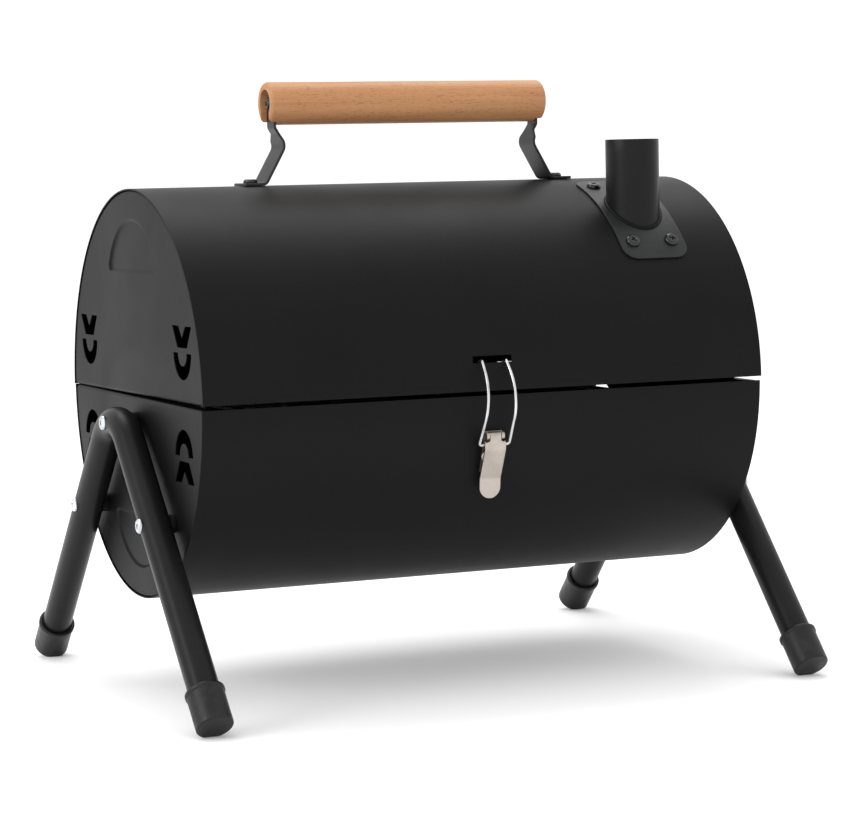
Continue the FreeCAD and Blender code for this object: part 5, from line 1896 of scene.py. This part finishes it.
    def make(self) -> None:
        """Build and dress the latch."""
        shop = self.shop
        shop.ship(self.lever(), "latch_lever", Slot.LATCH_STEEL, "latch_lever")
        bail = shop.ship(self.bail(), "latch_bail", Slot.LATCH_STEEL, "latch_bail")
        bail.data.materials[0] = shop.materials[Slot.CHROME_WIRE]
        drop, radius = self.pin_drop + self.rivet_drop, shop.body_radius + self.sheet
        spots = []
        for side in (-1, 1):
            seat = shop.at_drop(side * self.rivet_spread / 2, radius, drop)
            spots.append(Spot(seat, (seat - Vector((seat.x, 0.0, shop.axis))).normalized()))
        rivet = Rivet(grip=self.rivet_grip).model()
        rivets = fasten(shop, "latch_rivet_set", rivet, spots, Slot.LATCH_STEEL)
        shop.ship(rivets, "barrel", Slot.LATCH_STEEL, "latch_rivets")
        shop.dress(Slot.LATCH_STEEL, "latch_base", "latch_pin")


# ---------------------------------------------------------------- grids

@dataclass
class Grid:
    """A welded rod grid: a rounded frame, even cross bars and two long bars."""

    shop: Workshop
    body: str
    slot: Slot
    pitch: float
    frame_rod: float = 0.005
    bar_rod: float = 0.003
    corner: float = 0.015
    sink: float = 0.0003

    def make(self) -> None:
        """Build and dress the grid."""
        shop = self.shop
        low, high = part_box(f"{self.body}_frame")
        rod = self.frame_rod / 2
        half_x, half_y, z = high.x - rod, high.y - rod, (low.z + high.z) / 2
        corners = [Vector((sx * half_x, sy * half_y, z)) for sx, sy in ((-1, -1), (1, -1), (1, 1), (-1, 1))]
        loop = shop.rods.run(f"{self.body}_rim", path_object(corners, [self.corner] * 4, True),
                             shop.materials[self.slot], Radius=rod, Sides=20, Bend_Steps=10)
        shop.ship(sharpened(turned_out(loop)), self.body, self.slot, f"{self.body}_frame")
        top = z + rod + self.bar_rod / 2 - self.sink
        bars = shop.bars.run(f"{self.body}_bar_set", nothing(), shop.materials[self.slot],
                             Count=int((2 * half_x - self.frame_rod) // self.pitch), Pitch=self.pitch,
                             Radius=self.bar_rod / 2, Length=2 * half_y, Height=top,
                             Long_Length=2 * (half_x - rod + self.sink), Spread=2 * half_y / 3,
                             Long_Height=top - self.bar_rod + self.sink)
        shop.ship(sharpened(bars, 50.0), self.body, self.slot, f"{self.body}_bars")


# ---------------------------------------------------------------- studio

@dataclass
class Studio:
    """Pale floor, soft lights and the camera."""

    target: Vector = field(default_factory=lambda: Vector((0.0109, 0.0, 0.1845)))
    distance: float = 2.1415
    yaw: float = math.radians(23.591)
    pitch: float = math.radians(4.948)
    roll: float = math.radians(-1.249)
    lens: float = 121.4
    floor_size: float = 30.0
    floor_dark: float = 0.96
    floor_pale: float = 0.97
    floor_glow: float = 0.08
    surround_strength: float = 1.1
    key_power: float = 17.0
    overhead_power: float = 24.0
    light_height: float = 0.25

    def camera(self) -> None:
        """Stand the camera in front, to the left and a little above."""
        look = Vector((math.sin(self.yaw) * math.cos(self.pitch), math.cos(self.yaw) * math.cos(self.pitch),
                       -math.sin(self.pitch)))
        side = look.cross(Z_AXIS).normalized()
        up = side.cross(look)
        right = side * math.cos(self.roll) + up * math.sin(self.roll)
        top = up * math.cos(self.roll) - side * math.sin(self.roll)
        data = bpy.data.cameras.new("camera")
        data.lens, data.sensor_width, data.sensor_fit = self.lens, 36.0, "HORIZONTAL"
        data.clip_end = 60.0
        camera = new_object("camera", data)
        frame = Matrix((right, top, -look)).transposed().to_4x4()
        frame.translation = self.target - look * self.distance
        camera.matrix_world = frame
        bpy.context.scene.camera = camera

    def light(self, name: str, place: Sequence[float], size: Flat, power: float) -> None:
        """Add a soft box that looks at the barrel.

        Args:
            name: Name of the light.
            place: Where it stands.
            size: Its two sides.
            power: Its power in watts.
        """
        data = bpy.data.lights.new(name, "AREA")
        data.shape, data.size, data.size_y, data.energy = "RECTANGLE", size[0], size[1], power
        lamp = new_object(name, data)
        spot = Vector(place)
        aim = (Vector((0.0, 0.0, self.light_height)) - spot).to_track_quat("-Z", "Y")
        lamp.matrix_world = Matrix.Translation(spot) @ aim.to_matrix().to_4x4()

    def floor(self) -> None:
        """Lay a wide pale floor."""
        half = self.floor_size / 2
        mesh = bpy.data.meshes.new("floor")
        corners = [(-half, -half, 0), (half, -half, 0), (half, half, 0), (-half, half, 0)]
        mesh.from_pydata(corners, [], [(0, 1, 2, 3)])
        floor = new_object("floor", mesh)
        shader = Shader("studio floor")
        tones = ((0.3, (self.floor_dark,) * 3), (0.7, (self.floor_pale,) * 3))
        shader.join(shader.ramp(shader.noise((3, 3, 3), 2.0), tones), "Base Color")
        shader.set(Roughness=0.9, Specular_IOR_Level=0.0, Emission_Color=(1.0, 1.0, 1.0, 1.0),
                   Emission_Strength=self.floor_glow)
        mesh.materials.append(shader.material)

    def surround(self) -> None:
        """Give even white light from all round."""
        world = bpy.data.worlds.new("surround")
        world.use_nodes = True
        background = world.node_tree.nodes["Background"].inputs
        background["Color"].default_value = (1.0, 1.0, 1.0, 1.0)
        background["Strength"].default_value = self.surround_strength
        bpy.context.scene.world = world

    def make(self) -> None:
        """Build the studio."""
        self.camera()
        self.floor()
        self.surround()
        self.light("key_left", (-2.2, -0.3, 1.2), (1.2, 1.2), self.key_power)
        self.light("overhead", (0.2, 0.9, 2.2), (2.2, 1.0), self.overhead_power)
        view = bpy.context.scene.view_settings
        view.view_transform, view.look, view.exposure = "Standard", "None", 0.0


def main() -> None:
    """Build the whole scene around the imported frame."""
    logging.basicConfig(level=logging.INFO, format="%(name)s: %(message)s", stream=sys.stdout)
    shop = Workshop(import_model())
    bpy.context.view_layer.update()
    Studio().make()
    Barrel(shop).make()
    Legs(shop).make()
    Chimney(shop).make()
    Handle(shop).make()
    Hinges(shop).make()
    Latch(shop).make()
    Grid(shop, "cooking_grid", Slot.GRATE_STEEL, pitch=0.0155).make()
    Grid(shop, "charcoal_grate", Slot.GRATE_STEEL, pitch=0.0195).make()


if __name__ == "__main__":
    main()
